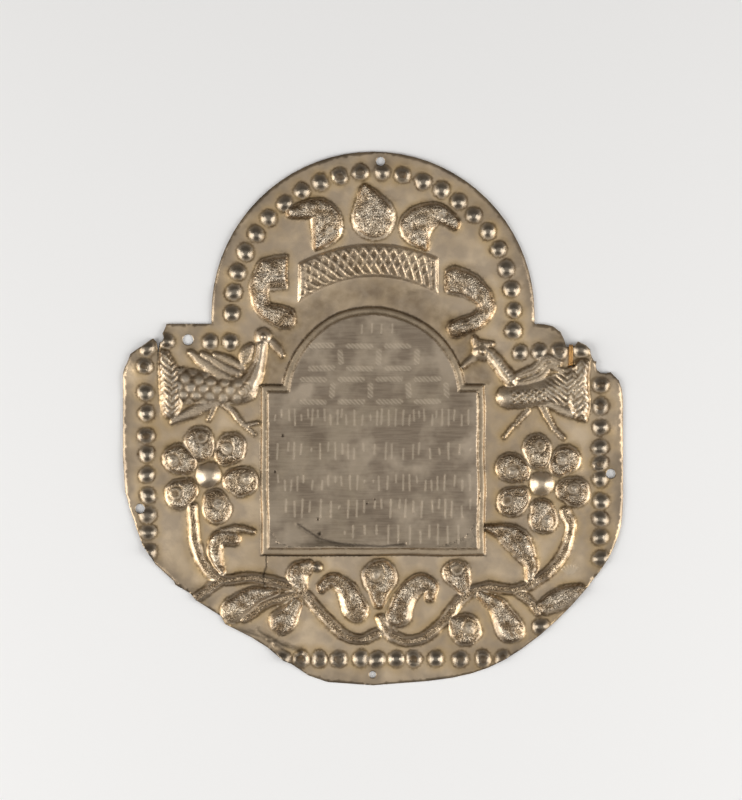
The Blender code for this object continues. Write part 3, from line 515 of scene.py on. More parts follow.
def refine_once(mesh):
    """Cut every side that is too long, then turn and even out the triangles."""
    mesh.verts.index_update()
    places = np.array([v.co[:] for v in mesh.verts]) / MM
    front = places[:, 2] > GAUGE / 2
    limit = wanted_length(places[:, 0], places[:, 1])
    limit = np.where(front, limit, np.maximum(limit * BACK_RATIO, BACK_SHORTEST))
    ends = np.array([(e.verts[0].index, e.verts[1].index) for e in mesh.edges])
    length = np.linalg.norm(places[ends[:, 0]] - places[ends[:, 1]], axis=1)
    flat = front[ends[:, 0]] == front[ends[:, 1]]
    too_long = flat & (length > np.minimum(limit[ends[:, 0]], limit[ends[:, 1]]))
    chosen = [e for e, long in zip(mesh.edges, too_long) if long]
    bmesh.ops.subdivide_edges(mesh, edges=chosen, cuts=1, use_grid_fill=False)
    bmesh.ops.triangulate(mesh, faces=[f for f in mesh.faces if len(f.verts) > 3])
    return len(chosen)


# %% Even out the triangles
CREASE_HOLD = 0.16


def tidy_triangles(mesh):
    """Turn and relax the triangles, but hold the edge, the holes and the panel's creases."""
    mesh.verts.index_update()
    walls = {f for f in mesh.faces if is_wall(f)}
    places = np.array([v.co[:] for v in mesh.verts]) / MM
    depth = panel_depth(places[:, 0], places[:, 1])
    band = band_depth(places[:, 0], places[:, 1])
    near_crease = np.min([np.abs(depth - crease) for crease in PANEL_CREASES], axis=0)
    held = np.minimum(near_crease, np.abs(band)) < CREASE_HOLD
    for f in walls:
        for v in f.verts:
            held[v.index] = True
    free_edges = [e for e in mesh.edges if len(e.link_faces) == 2
                  and not (held[e.verts[0].index] and held[e.verts[1].index])
                  and e.link_faces[0] not in walls and e.link_faces[1] not in walls]
    faces = [f for f in mesh.faces if f not in walls]
    bmesh.ops.beautify_fill(mesh, faces=faces, edges=free_edges, method="AREA")
    loose = [v for v in mesh.verts if not held[v.index]]
    bmesh.ops.smooth_vert(mesh, verts=loose, factor=0.5,
                          use_axis_x=True, use_axis_y=True, use_axis_z=False)


# %% Round the holes and run the passes
PASSES = 9
ENOUGH_CUTS = 200
RIM_REACH = 0.3


def round_holes(mesh):
    """Set the points on each hole's rim on its circle."""
    rim = {v for f in mesh.faces if is_wall(f) for v in f.verts}
    for cx, cy, radius in HOLES:
        centre = Vector((cx, cy)) * MM
        for v in rim:
            away = v.co.xy - centre
            if away.length < (radius + RIM_REACH) * MM:
                v.co.xy = centre + away.normalized() * radius * MM


for step in range(PASSES):
    cut_count = refine_once(fine)
    round_holes(fine)
    tidy_triangles(fine)
    print("pass", step + 1, "cut", cut_count, "sides;", len(fine.faces), "faces")
    if cut_count < ENOUGH_CUTS:
        break
tidy_triangles(fine)

# %% [markdown]
# ## Chaser's marks
# Small helpers for the marks: a cheap repeatable noise, punch dots scattered on a jittered grid, and
# the distance to a straight stroke. All of them take whole arrays of points at once.

# %% Soft noise
def scatter(a, b, seed):
    """A repeatable pseudo-random number from 0 to 1 for each pair of whole numbers."""
    return np.abs(np.modf(np.sin(a * 127.1 + b * 311.7 + seed * 74.7) * 43758.5453)[0])


def clouds(x, y, size, seed):
    """Soft noise from -1 to 1 whose blobs are about the given size."""
    u, v = x / size, y / size
    i, j = np.floor(u), np.floor(v)
    s, t = u - i, v - j
    s, t = s * s * (3 - 2 * s), t * t * (3 - 2 * t)
    low = scatter(i, j, seed) * (1 - s) + scatter(i + 1, j, seed) * s
    high = scatter(i, j + 1, seed) * (1 - s) + scatter(i + 1, j + 1, seed) * s
    return 2 * (low * (1 - t) + high * t) - 1


# %% Punch dots, strokes and ridges
def dot_distance(x, y, pitch, seed):
    """Distance to the nearest scattered punch dot, as a share of their pitch."""
    column, row = np.floor(x / pitch), np.floor(y / pitch)
    nearest = np.full(np.shape(x), 9.0)
    for i in (-1, 0, 1):
        for j in (-1, 0, 1):
            px = column + i + 0.15 + 0.7 * scatter(column + i, row + j, seed)
            py = row + j + 0.15 + 0.7 * scatter(column + i, row + j, seed + 5)
            nearest = np.minimum(nearest, np.hypot(x / pitch - px, y / pitch - py))
    return nearest


def segment_distance(x, y, ax, ay, bx, by):
    """Distance from points to a straight stroke."""
    span = (bx - ax) ** 2 + (by - ay) ** 2
    share = np.clip(((x - ax) * (bx - ax) + (y - ay) * (by - ay)) / max(span, 1e-9), 0, 1)
    return np.hypot(x - ax - share * (bx - ax), y - ay - share * (by - ay))


def ridge(distance, half_width):
    """A rounded ridge, 1 on its line and 0 at its half width."""
    return np.clip(1 - (distance / half_width) ** 2, 0, 1)


def repeat(value, period):
    """Distance to the nearest of evenly spaced lines."""
    return np.abs((value / period + 0.5) % 1 - 0.5) * period


# %% [markdown]
# ### Finishes of the raised forms
# Every finish gets a form's own coordinates: the share of the way out to its edge, the length
# along its line, the place across it from -1 to 1, and the same place counted towards the outer
# side of its curve. It answers with a height in millimetres and with how densely the place is
# stippled. The depths are a few tenths of a millimetre, as a chasing tool leaves in thin silver.

# %% Shared marks
LIP = 0.87


def fade(value, edge, width):
    """1 below an edge and 0 above it, with a soft step."""
    return np.clip((edge - value) / width + 0.5, 0, 1)


def rough_ground(x, y, pitch=1.5, deep=0.26, seed=1):
    """Rough ground of overlapping punch dots."""
    return deep * (np.clip(dot_distance(x, y, pitch, seed) / 0.55, 0, 1) - 0.55)


def rim_line(share):
    """The fine line that parts a form's smooth lip from its stippled inside."""
    return -0.14 * ridge(share - LIP, 0.07)


def none_like(at):
    """No stipple anywhere."""
    return np.zeros_like(at["x"])


# %% [markdown]
# #### Plumes and hooked leaves
# The crown's feathers and hooks are lumpy and stippled inside a smooth lip. The lumps are soft noise
# and the stipple is a field of scattered punch dots, because a chaser covers a ground blow by blow.

# %% Plumes and hooked leaves
def finish_plume(at):
    """Lumpy stippled feathers with a smooth lip."""
    inside = fade(at["share"], LIP, 0.1)
    lumps = 0.55 * clouds(at["x"], at["y"], 3.4, 3)
    barbs = 0.16 * ridge(repeat(at["across"] * at["radius"] + 0.3 * at["along"], 2.9), 0.8)
    height = inside * (rough_ground(at["x"], at["y"], 1.6, 0.36) + lumps + barbs)
    return height + rim_line(at["share"]), inside


def finish_hook(at):
    """A hooked leaf: stippled lumps with two lines along them."""
    ground = fade(at["share"], LIP, 0.1)
    lines = ridge(at["outer"] + 0.2, 0.1) + ridge(at["outer"] + 0.58, 0.09)
    lumps = 0.42 * clouds(at["x"], at["y"], 3.2, 8)
    height = ground * (rough_ground(at["x"], at["y"], 1.5, 0.32) + lumps)
    return height - 0.2 * lines + rim_line(at["share"]), ground * (1 - 0.6 * np.minimum(lines, 1))


# %% [markdown]
# #### Leaves, petals and stems
# A curled leaf has a row of pearls along its outer side. They're counted along the leaf's own line,
# so they follow its curl. Each petal curls round an eye, and its angle picks one of three kinds of
# curl. A stem has a dotted band sunk between two lips.

# %% Curled leaves
def finish_leaf(at):
    """A curled leaf: pearls on its outer side, stippled lumps inside, a narrow smooth inner edge."""
    ground = fade(at["share"], LIP, 0.1) * fade(-at["outer"], 0.62, 0.2)
    pearls = ridge(np.hypot(repeat(at["along"], 2.1), (at["outer"] - 0.6) * at["radius"]), 1.0)
    spine = ridge(at["outer"] + 0.12, 0.12)
    lumps = 0.46 * clouds(at["x"], at["y"], 3.2, 7)
    height = ground * (rough_ground(at["x"], at["y"], 1.5, 0.28) + lumps) - 0.22 * spine
    return height + 0.32 * pearls + rim_line(at["share"]), ground * (1 - 0.6 * pearls)


# %% Curled petals
def finish_petal(at):
    """A curled petal: a stippled crescent round a smooth curl, with an eye in it."""
    form = at["form"]
    hx, hy, radius = form["knots"][-1]
    turn = math.radians(form["turn"])
    kind = round(form["turn"]) % 3
    side = turn + (0.9, -0.8, 2.4)[kind]
    eye_x = hx + 0.3 * radius * math.cos(side)
    eye_y = hy + 0.3 * radius * math.sin(side)
    eye = np.hypot(at["x"] - eye_x, at["y"] - eye_y) / radius
    bearing = np.arctan2(at["y"] - eye_y, at["x"] - eye_x) - side
    curl = fade(eye, 0.5, 0.06)
    ground = fade(at["share"], LIP, 0.08) * (1 - curl)
    arcs = ridge(repeat((eye - 0.03 * np.cos(bearing)) * radius, 1.5), 0.42)
    middle = (0.42, -0.5, 0.25)[kind] * ridge(eye, 0.24)
    lumps = 0.38 * clouds(at["x"], at["y"], 3.0, 9)
    height = ground * (rough_ground(at["x"], at["y"], 1.5, 0.34) + lumps)
    edge = -0.26 * ridge(eye - 0.5, 0.09) * (np.cos(bearing) > -0.8)
    marked = curl * (middle - 0.2 * arcs * (eye > 0.2))
    return height + edge + marked + rim_line(at["share"]), np.maximum(ground, 0.35 * curl)


# %% Stems' dotted band
def finish_stem(at):
    """A stem: a sunk dotted band between two smooth lips."""
    dotted = fade(np.abs(at["across"]), 0.5, 0.2) * fade(at["share"], 0.95, 0.1)
    return dotted * (rough_ground(at["x"], at["y"], 1.25, 0.3) - 0.25), dotted


# %% [markdown]
# #### The birds' feathers
# The left bird's body is covered with feathers like pebbles: half balls in staggered rows, of which
# the highest wins at each point. The tails are cut in zigzag bars, the right bird's body carries a
# row of stars, and its neck a ladder of rungs. The lines are plain repeats in X, Y or along the form.

# %% Scales and bars
def finish_scales(at):
    """Overlapping feathers like pebbles, each highest at its end towards the neck."""
    long, wide = 6.4, 6.2
    top = np.zeros_like(at["x"])
    v = at["across"] * at["radius"]
    for row in range(-3, 4):
        shift = long / 2 if row % 2 else 0.0
        for column in range(-1, 8):
            ahead = (column * long + shift - at["along"]) / (long * 0.62)
            beside = (v - row * wide * 0.62) / (wide * 0.56)
            bulge = np.sqrt(np.clip(1 - ahead ** 2 - beside ** 2, 0, 1))
            top = np.maximum(top, bulge * (0.75 + 0.35 * ahead))
    return 1.9 * top - 1.34, 0.2 + none_like(at)


def finish_barred(at):
    """Zigzag bars between upright lines, like cut barbs."""
    column = np.floor(at["x"] / 3.6)
    slope = np.where(column % 2 == 0, 1.0, -1.0)
    bars = ridge(repeat(at["y"] + slope * at["x"] * 0.9, 3.0), 0.95)
    seams = ridge(repeat(at["x"], 3.6), 0.5)
    return 0.5 * bars - 0.26 - 0.2 * seams, 0.25 + none_like(at)


# %% The right bird's body and neck
def finish_breast(at):
    """The right bird's body: a row of stars along it, and chevrons towards the tail."""
    far = np.clip((at["along"] - 17) / 3, 0, 1)
    rising, falling = at["y"] + 0.9 * at["x"], at["y"] - 0.9 * at["x"]
    stars = ridge(repeat(rising, 3.2), 0.6) + ridge(repeat(falling, 3.2), 0.6)
    row = fade(np.abs(at["across"] + 0.1), 0.6, 0.2) * (at["along"] > 1) * (1 - far)
    chevrons = ridge(repeat(at["y"] - np.abs(at["x"] - 93.0) * 0.8, 2.9), 0.85)
    tail = fade(at["share"], 0.9, 0.1) * far
    return (0.55 * np.minimum(stars, 1) - 0.2) * row + (0.5 * chevrons - 0.25) * tail, 0.25 + 0.3 * row


def finish_ladder(at):
    """A neck with a smooth band on one side and a ladder of rungs on the other."""
    rails = ridge(at["across"] - 0.05, 0.12) + ridge(at["across"] - 0.84, 0.12)
    rungs = ridge(repeat(at["along"], 2.0), 0.55) * (at["across"] > 0.1) * (at["across"] < 0.8)
    return 0.25 * rails + 0.4 * rungs - 0.4 * ridge(at["across"] + 0.12, 0.14), 0.2 + none_like(at)


# %% The left bird's neck, feathers and quills
def finish_neck(at):
    """A smooth neck with a line along its back and a ringed disc on the breast."""
    disc = np.hypot(at["x"] + 61.8, at["y"] - 13.2)
    rings = ridge(repeat(disc + 0.4, 1.35), 0.42) * (disc < 4.6)
    return -0.28 * ridge(at["across"] + 0.5, 0.2) - 0.26 * rings, 0.2 + none_like(at)


def finish_feather(at):
    """A wavy feather, parted from the next by a fine line."""
    return -0.22 * ridge(at["share"] - 0.9, 0.14), 0.3 + none_like(at)


def finish_quill(at):
    """A wavy feather with a groove along its middle."""
    return -0.3 * ridge(at["across"], 0.26), 0.3 + none_like(at)


# %% Tufts, heads and ringed beads
def finish_tuft(at):
    """A tuft crossed by short hatching."""
    hatching = ridge(repeat(at["along"] + at["across"], 1.5), 0.5)
    return 0.24 * hatching - 0.12, 0.4 * fade(at["share"], 0.8, 0.1)


def finish_eye(at):
    """A head with an eye in a ring."""
    away = at["share"] * at["radius"]
    return 0.3 * ridge(away, 0.7) - 0.3 * ridge(away - 1.5, 0.6), none_like(at)


def finish_ringed_bead(at):
    """A bead that was struck a second time, flat inside a ring."""
    flat = fade(at["share"], 0.5, 0.14)
    return -1.1 * flat + 0.12 * ridge(at["share"] - 0.62, 0.14), 0.15 * flat


def finish_plain(at):
    """No marks."""
    return none_like(at), none_like(at)


FINISHES = {
    "plume": finish_plume, "hook": finish_hook, "leaf": finish_leaf, "petal": finish_petal,
    "stem": finish_stem, "scales": finish_scales, "barred": finish_barred, "breast": finish_breast,
    "ladder": finish_ladder, "neck": finish_neck, "feather": finish_feather, "quill": finish_quill,
    "tuft": finish_tuft, "leg": finish_quill, "eye": finish_eye, "ringed bead": finish_ringed_bead,
}

# %% [markdown]
# ### From forms to a surface
# The sheet's height is found form by form: each point asks how far it lies from a form's line, as a
# share of the form's width there, and the highest form wins. Some forms are round in section and
# others nearly flat on top, so each finish also has a power that says how full the section is. The
# foot is always soft, because metal that is pushed from behind doesn't turn a sharp corner.

# %% Where a point lies on a form
FIELD_REACH = 4.5


def place_on_form(form, x, y):
    """The points that a form reaches, with their place on it."""
    path = smooth_path(form["knots"], 16)
    reach = path[:, 2].max() + FIELD_REACH
    near = ((x > path[:, 0].min() - reach) & (x < path[:, 0].max() + reach)
            & (y > path[:, 1].min() - reach) & (y < path[:, 1].max() + reach))
    index = np.flatnonzero(near)
    dx = x[index, None] - path[:, 0]
    dy = y[index, None] - path[:, 1]
    radius = np.maximum(path[:, 2], 0.3)
    distance = np.hypot(dx, dy)
    best = np.argmin(distance / radius, axis=1)
    rows = np.arange(len(index))
    if len(path) > 1:
        direction = np.gradient(path[:, :2], axis=0)
        direction /= np.maximum(np.linalg.norm(direction, axis=1, keepdims=True), 1e-9)
        length = np.concatenate([[0], np.cumsum(np.hypot(*np.diff(path[:, :2], axis=0).T))])
    else:
        direction = np.array([[1.0, 0.0]])
        length = np.zeros(1)
    tx, ty = direction[best].T
    bx, by = dx[rows, best], dy[rows, best]
    across = (tx * by - ty * bx) / radius[best]
    turning = np.sign((direction[0, 0] * direction[-1, 1] - direction[0, 1] * direction[-1, 0]) or 1.0)
    return index, {
        "form": form, "x": x[index], "y": y[index], "share": distance[rows, best] / radius[best],
        "radius": radius[best], "along": length[best] + bx * tx + by * ty, "across": across,
        "outer": -turning * across, "outside": distance[rows, best] - radius[best],
    }


# %% Section of a form
FOOT_WIDTH = 0.95
PLAIN_POWER = 2.2
FULL_POWERS = {"plume": 3.2, "hook": 3.0, "leaf": 3.0, "petal": 3.4, "feather": 3.0, "barred": 3.0,
               "scales": 2.8, "stem": 3.0, "bead": 2.7, "ringed bead": 2.7}
BEAD_NARROWER = 1.4
FORM_NARROWER = 1.06


def dome(at):
    """The section of a form: rounded or full above, soft at its foot."""
    power = FULL_POWERS.get(at["form"]["finish"], PLAIN_POWER)
    narrower = BEAD_NARROWER if "bead" in at["form"]["finish"] else FORM_NARROWER
    depth = 1 - np.minimum(narrower * at["share"], 3.0) ** power
    soft = np.clip(FOOT_WIDTH * power / at["radius"], 0.25, 0.85)
    return (depth + np.sqrt(depth ** 2 + soft ** 2)) / (1 + np.sqrt(1 + soft ** 2))


# %% [markdown]
# ### The sheet between the forms
# Thin old silver is never flat. It stands off the table round the wire that ties its torn shoulder,
# and it has sprung up in soft bulges elsewhere. Both are smooth hills, so that no edge shows.

# %% Lift at the tie, and bulges
LIFT_CORE = 7.0
LIFT_REACH = 19.0
# Places where the thin sheet has sprung up a little, each as centre, half width, half height and rise
BULGES = ((68.0, 70.0, 8.0, 20.0, 0.8), (19.0, 57.5, 13.0, 6.5, 0.6), (61.0, 42.0, 10.0, 9.0, 0.7),
          (114.0, 0.0, 9.0, 26.0, 0.7), (-112.0, 24.0, 9.0, 12.0, 0.8), (-96.0, -62.0, 8.0, 22.0, 0.5),
          (70.0, -57.0, 12.0, 14.0, 0.4), (-60.0, 44.0, 12.0, 8.0, 0.4))


def lift_height(x, y):
    """The sheet stands off the ground round the wire that ties its torn shoulder."""
    away = np.hypot(x - TIE[0], y - (TIE[1] + TIE[2]) / 2)
    near = 1 - np.clip((away - LIFT_CORE) / (LIFT_REACH - LIFT_CORE), 0, 1)
    return (WIRE_FLOOR_GAP + WIRE_DIAMETER + WIRE_CLEARANCE) * near * near * (3 - 2 * near)


def bulge_height(x, y):
    """Soft bulges of the field, smooth at their edges."""
    height = np.zeros(len(x))
    for cx, cy, half_wide, half_high, rise in BULGES:
        away = np.clip(np.hypot((x - cx) / half_wide, (y - cy) / half_high), 0, 1)
        height += rise * (0.5 + 0.5 * np.cos(math.pi * away))
    return height


# %% [markdown]
# ### Panel and crown band
# The panel's edge is a moulding: a steep foot, a slightly crowned band and a step up to the plate.
# A list of depths and rises gives that section, and one lower corner is dented in. The crown's band
# is a low ribbon with crossing strokes, whose spacing is measured along the band's own arc.

# %% Panel
# Depth inside the panel's edge and the rise there
PANEL_SECTION = ((0.0, 0.0), (0.4, 0.95), (0.8, 1.5), (1.6, 1.74), (2.3, 1.78), (3.0, 1.7),
                 (3.4, 2.45), (3.8, 3.0))
# The dent's centre, its reach, how much longer it is than high, and its depth
DENT = (-26.0, -61.0, 15.0, 2.2, 1.2)


def panel_height(x, y):
    """The panel's edge in section, and its dented corner."""
    depth = panel_depth(x, y)
    rise = np.interp(depth, *zip(*PANEL_SECTION))
    dent_x, dent_y, reach, stretch, deep = DENT
    away = np.hypot((x - dent_x) / stretch, y - dent_y) / reach
    dent = deep * np.clip(1 - away, 0, 1) * np.clip((depth - PANEL_BAND) / PANEL_BAND, 0, 1)
    return rise - dent


# %% Crown band
CROWN_BAND_RISE = 1.5
BAND_RAMP = 1.6
BAND_END_BARS = 5.5


def crown_band(x, y):
    """The curved band: its rise, and the crossing strokes on it."""
    depth = band_depth(x, y)
    cx, cy, _ = PANEL_ARCH
    radius = np.hypot(x - cx, y - cy)
    run = np.arctan2(x - cx, y - cy) * band_middle
    up = radius - band_middle
    down_right = ridge(repeat(run + up * 0.7, 4.5), 0.95)
    down_left = ridge(repeat(run - up * 0.7, 4.5), 0.8) * fade(np.abs(up - 1.5), 4.5, 1.5)
    from_end = np.minimum(x - CROWN_BAND_ENDS[0], CROWN_BAND_ENDS[1] - x)
    ends = ridge(repeat(x, 2.3), 0.6) * (from_end < BAND_END_BARS)
    marks = np.maximum(np.maximum(down_right, 0.8 * down_left), ends)
    rise = CROWN_BAND_RISE * np.clip(depth / BAND_RAMP, 0, 1)
    return rise, (0.62 * marks - 0.36) * fade(-depth, -1.4, 0.8)


# %% [markdown]
# ### All forms together
# Now every form is laid on the sheet. A hand-held punch wanders, so the points are first shifted a
# little. The metal also swells up softly towards each form, which gives every bead and leaf its pale
# halo, and a fine line is pressed round its foot.

# %% Chase the whole sheet
CUT_RAMP = 1.2
OUTLINE_DEPTH = 0.12
OUTLINE_OFFSET = 0.55
OUTLINE_WIDTH = 0.65
# The field swells up a little towards each form, and the form's own rise gives that much up
SKIRT_RISE = 0.42
SKIRT_SCALE = 0.87


def wobble(x, y):
    """Points shifted a little, as a hand-held punch wanders off its line."""
    across = 0.5 * clouds(x, y, 6.5, 41) + 0.2 * clouds(x, y, 2.8, 42)
    up = 0.5 * clouds(x, y, 6.5, 43) + 0.2 * clouds(x, y, 2.8, 44)
    return x + across, y + up


def chase(sheet_x, sheet_y):
    """Everything about the sheet at each point: rise, fine marks and the traces of age."""
    x, y = wobble(sheet_x, sheet_y)
    rise, band_marks = crown_band(sheet_x, sheet_y)
    uneven = 1 + 0.14 * clouds(x, y, 7.0, 45)
    owner = np.full(len(x), -1)
    placed = []
    outline = np.zeros(len(x))
    near = np.zeros(len(x))
    for number, form in enumerate(FORMS):
        index, at = place_on_form(form, x, y)
        height = form["rise"] * dome(at) * uneven[index]
        if form["cut"] is not None:
            place, side = form["cut"]
            inside = (place - at["x"]) * side / CUT_RAMP
            height = np.minimum(height, form["rise"] * np.clip(inside, 0, 1))
            at["outside"] = np.maximum(at["outside"], -inside * CUT_RAMP)
        wins = (height > rise[index]) & (at["share"] < 1.02)
        rise[index] = np.maximum(rise[index], height)
        owner[index[wins]] = number
        placed.append((index, at))
        ring = ridge(at["outside"] - OUTLINE_OFFSET, OUTLINE_WIDTH)
        outline[index] = np.maximum(outline[index], ring)
        near[index] = np.maximum(near[index], np.clip(1 - at["outside"] / FIELD_REACH, 0, 1))
    marks = np.where(owner < 0, band_marks, 0.0)
    dots = np.zeros(len(x))
    for number, (index, at) in enumerate(placed):
        mine = owner[index] == number
        height, ground = FINISHES.get(FORMS[number]["finish"], finish_plain)(at)
        marks[index[mine]] = height[mine]
        dots[index[mine]] = ground[mine]
    on_field = owner < 0
    marks -= OUTLINE_DEPTH * outline * on_field
    for cx, cy, radius in RINGED_DOTS:
        away = np.hypot(x - cx, y - cy)
        marks = np.where(away < radius * 1.5, 0.3 * ridge(away - radius, 0.55) - 0.1, marks)
        dots = np.where(away < radius * 1.5, 0.0, dots)
    rise = SKIRT_SCALE * rise + SKIRT_RISE * near ** 2
    return rise, marks, dots, outline * on_field, near, owner


# %% [markdown]
# ## Engraving and damage as heights
# A graver cuts a groove below the panel's face. Each stroke is found by its distance, so its ends are
# round, and a broad bar is filled with slanting hatches. The share from 0 to 1 that comes back gives
# the depth here and the pale colour of the cut metal afterwards.

# %% Engraving
ENGRAVING_DEPTH = 0.16


def engraving(x, y):
    """Depth of the strokes on the panel, and how fresh the cut metal is."""
    cut = np.zeros(len(x))
    for ax, ay, bx, by, half in MARKS + BROAD_MARKS + TICK_MARKS + TUFT_STROKES:
        near = np.flatnonzero((x > min(ax, bx) - 2) & (x < max(ax, bx) + 2)
                              & (y > min(ay, by) - 2) & (y < max(ay, by) + 2))
        away = segment_distance(x[near], y[near], ax, ay, bx, by)
        groove = ridge(away, half + 0.25)
        if half > 1:
            hatch = ridge(repeat(x[near] * 0.8 + y[near] * 0.8, 1.6), 0.55)
            groove = fade(away, half, 0.5) * (0.3 + 0.7 * hatch)
        cut[near] = np.maximum(cut[near], groove)
    return cut


# %% [markdown]
# Cracks and pinholes are sunk, folds stand up, and the buckled corner is pressed in along its line.
# All of them also get painted shade, so a second number tells the material how dark each place is
# painted.

# %% Cracks, folds, buckle and pinholes as heights
def damage(x, y):
    """Height of folds and cracks, and how dark their painted shade is."""
    height = np.zeros(len(x))
    dark = np.zeros(len(x))
    for line in CRACKS:
        for (ax, ay), (bx, by) in zip(line, line[1:]):
            away = segment_distance(x, y, ax, ay, bx, by)
            height -= 0.3 * ridge(away, 0.55)
            dark = np.maximum(dark, 0.85 * ridge(away, 0.6))
    for line in FOLDS:
        for (ax, ay), (bx, by) in zip(line, line[1:]):
            away = segment_distance(x, y, ax, ay, bx, by)
            height += 0.35 * ridge(away, 1.8)
            dark = np.maximum(dark, 0.5 * ridge(away, 0.8))
    buckle = np.full(len(x), 99.0)
    for (ax, ay), (bx, by) in zip(BUCKLE, BUCKLE[1:]):
        buckle = np.minimum(buckle, segment_distance(x, y, ax, ay, bx, by))
    height -= 0.45 * ridge(buckle, 1.6)
    dark = np.maximum(dark, 0.7 * ridge(buckle, 0.7))
    for px, py, radius in PINHOLES:
        away = np.hypot(x - px, y - py)
        height -= 0.45 * ridge(away, radius)
        dark = np.maximum(dark, np.clip(1.3 - away / radius, 0, 1))
    return height, dark


# %% [markdown]
# ## Lift the flat mesh into relief
# The front takes the full detail. The back follows the same forms without the finest marks, as the
# back of a chased sheet does. Where a mark would cut through the gauge, it is stopped short.

# %% Give the mesh its heights
THINNEST = 0.16
BACK_SLACK = 0.08
TOP_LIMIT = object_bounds()[1].z / MM
# Waves of the hammered sheet: height, length and the number that starts their noise
BROAD_WAVE = (0.24, 21.0, 21)
FIELD_WAVES = ((0.27, 9.5, 22), (0.1, 3.8, 23))
CALMER_PANEL = 0.4
fine.verts.index_update()
flat = np.array([v.co[:] for v in fine.verts]) / MM
x, y = flat[:, 0].copy(), flat[:, 1].copy()
is_front = flat[:, 2] > GAUGE / 2
rise, marks, dots, outline, near, owner = chase(x, y)
cut = engraving(x, y)
fold, dark = damage(x, y)
depth = panel_depth(x, y)
broad_waves = clouds(x, y, *BROAD_WAVE[1:])
field_waves = sum(high * clouds(x, y, length, seed) for high, length, seed in FIELD_WAVES)
panel_mask = fade(-depth, -PANEL_BAND, 0.6)
back = lift_height(x, y) + panel_height(x, y) + bulge_height(x, y) + rise + np.maximum(fold, 0)
back += BACK_SLACK + BROAD_WAVE[0] * (1 + broad_waves)
detail = marks + np.minimum(fold, 0) - ENGRAVING_DEPTH * cut
detail = detail + field_waves * (1 - CALMER_PANEL * panel_mask)
detail = np.maximum(detail, THINNEST - GAUGE + BACK_SLACK)
front = np.minimum(back + GAUGE - BACK_SLACK + detail, TOP_LIMIT)
# The lowest places of the back rest on the table, so the frame's underside stays at zero
back = np.maximum(back - back[~is_front].min(), 0.0)
height = np.where(is_front, front, np.minimum(back, front - THINNEST))
print("mean height of the front", round(float(front[is_front].mean()), 2), "mm")

# %% [markdown]
# The panel's frame was bent up by hand, so its lines wander a little. The points round it are shifted
# sideways by slow noise, most on the frame and not at all a centimetre away from it.

# %% Bend the frame and move every point
FRAME_BEND = 0.5
FRAME_BEND_REACH = 10.0
bent = FRAME_BEND * np.clip(1 - np.abs(depth - PANEL_BAND / 2) / FRAME_BEND_REACH, 0, 1)
bent_x = x + bent * clouds(x, y, 17.0, 51)
bent_y = y + bent * clouds(x, y, 17.0, 52)
for v, *place in zip(fine.verts, bent_x, bent_y, height):
    v.co = Vector(place) * MM
fine.normal_update()
print("highest", round(float(height.max()), 2), "mm, lowest", round(float(height.min()), 3), "mm")

# %% [markdown]
# ## Traces of age and painted light as attributes
# Dirt gathers in the grooves and at the foot of every form, and hands polish the tops, which are also
# painted lighter as painted highlight. Painted shade lies over the panel's arch, along the panel's foot
# crease, on the beads, on the panel's band and in the cracks, folds and pinholes. All of these follow
# the surface and not space, so they're written on the mesh as attributes that the material reads.
# The distance to the sheet's edge is measured with a k-d tree of the edge's points.

# %% Distance to the edge
walls = [f for f in fine.faces if abs(f.normal.z) < 0.02]
edge_verts = {v for f in walls for v in f.verts}
tree = KDTree(len(edge_verts))
for number, v in enumerate(edge_verts):
    tree.insert(Vector((v.co.x, v.co.y, 0)), number)
tree.balance()
edge_distance = np.array([tree.find(Vector((v.co.x, v.co.y, 0)))[2] for v in fine.verts]) / MM
print("points on the edge:", len(edge_verts))

# %% Where dirt and painted shade lie, and where tops are worn and painted lighter
# Radius over the panel's arch, reach and share of the painted shade that lies between the panel and the
# crown
PAINTED_SHADE_OVER_ARCH = (51.5, 9.0, 0.55)
EDGE_REACH = 9.0
sheet_data = bpy.data.meshes.new("chased_sheet")
fine.to_mesh(sheet_data)
fine.free()


def write_attribute(data, name, values):
    """Store one number a point on a mesh."""
    layer = data.attributes.new(name, "FLOAT", "POINT")
    layer.data.foreach_set("value", np.asarray(values, np.float32))


tops = np.clip(rise / 2.6, 0, 1) * (owner >= 0)
bead_tops = np.isin(owner, [n for n, form in enumerate(FORMS) if "bead" in form["finish"]])
# Painted shade: a dark line along the panel's foot crease, full on the left below the shoulder, weaker
# elsewhere
painted_crease_shade = 0.85 * ridge(depth - 0.1, 0.5) * np.where((x < 0) & (y < PANEL_SHOULDER), 1.0, 0.6)
scaled = np.isin(owner, [n for n, form in enumerate(FORMS) if form["finish"] == "scales"])
grooves = np.clip((-0.04 * scaled - marks) / 0.3, 0, 1)
from_arch = np.hypot(x - PANEL_ARCH[0], y - PANEL_ARCH[1])
# Painted shade: the field over the panel's arch, under the crown, is darkened as if the panel shaded it
painted_shade_over_arch = ridge(from_arch - PAINTED_SHADE_OVER_ARCH[0], PAINTED_SHADE_OVER_ARCH[1]) * (y > PANEL_SHOULDER)
# Dirt in the grooves and round each form's foot, with the painted shade over the arch added to it
dirt_and_shade = outline * 0.85 + grooves * 0.95 + PAINTED_SHADE_OVER_ARCH[2] * painted_shade_over_arch
dirt_and_shade = np.clip(dirt_and_shade, 0, 1) * (1 - panel_mask)
# Tops of the forms painted lighter, partly wear and partly painted highlight; raised marks more, sunk
# ones less, beads none
rubbed_and_highlight = np.clip(tops * (0.65 + np.clip(marks / 0.2, -0.65, 0.35)), 0, 1) * ~bead_tops
print("share of the sheet that is rubbed:", round(float(rubbed_and_highlight.mean()), 2))

# %% Write the attributes and make the piece
# One mask holds both the dirt in the grooves and the painted shade over the panel's arch
write_attribute(sheet_data, "dirt_and_shade", dirt_and_shade)
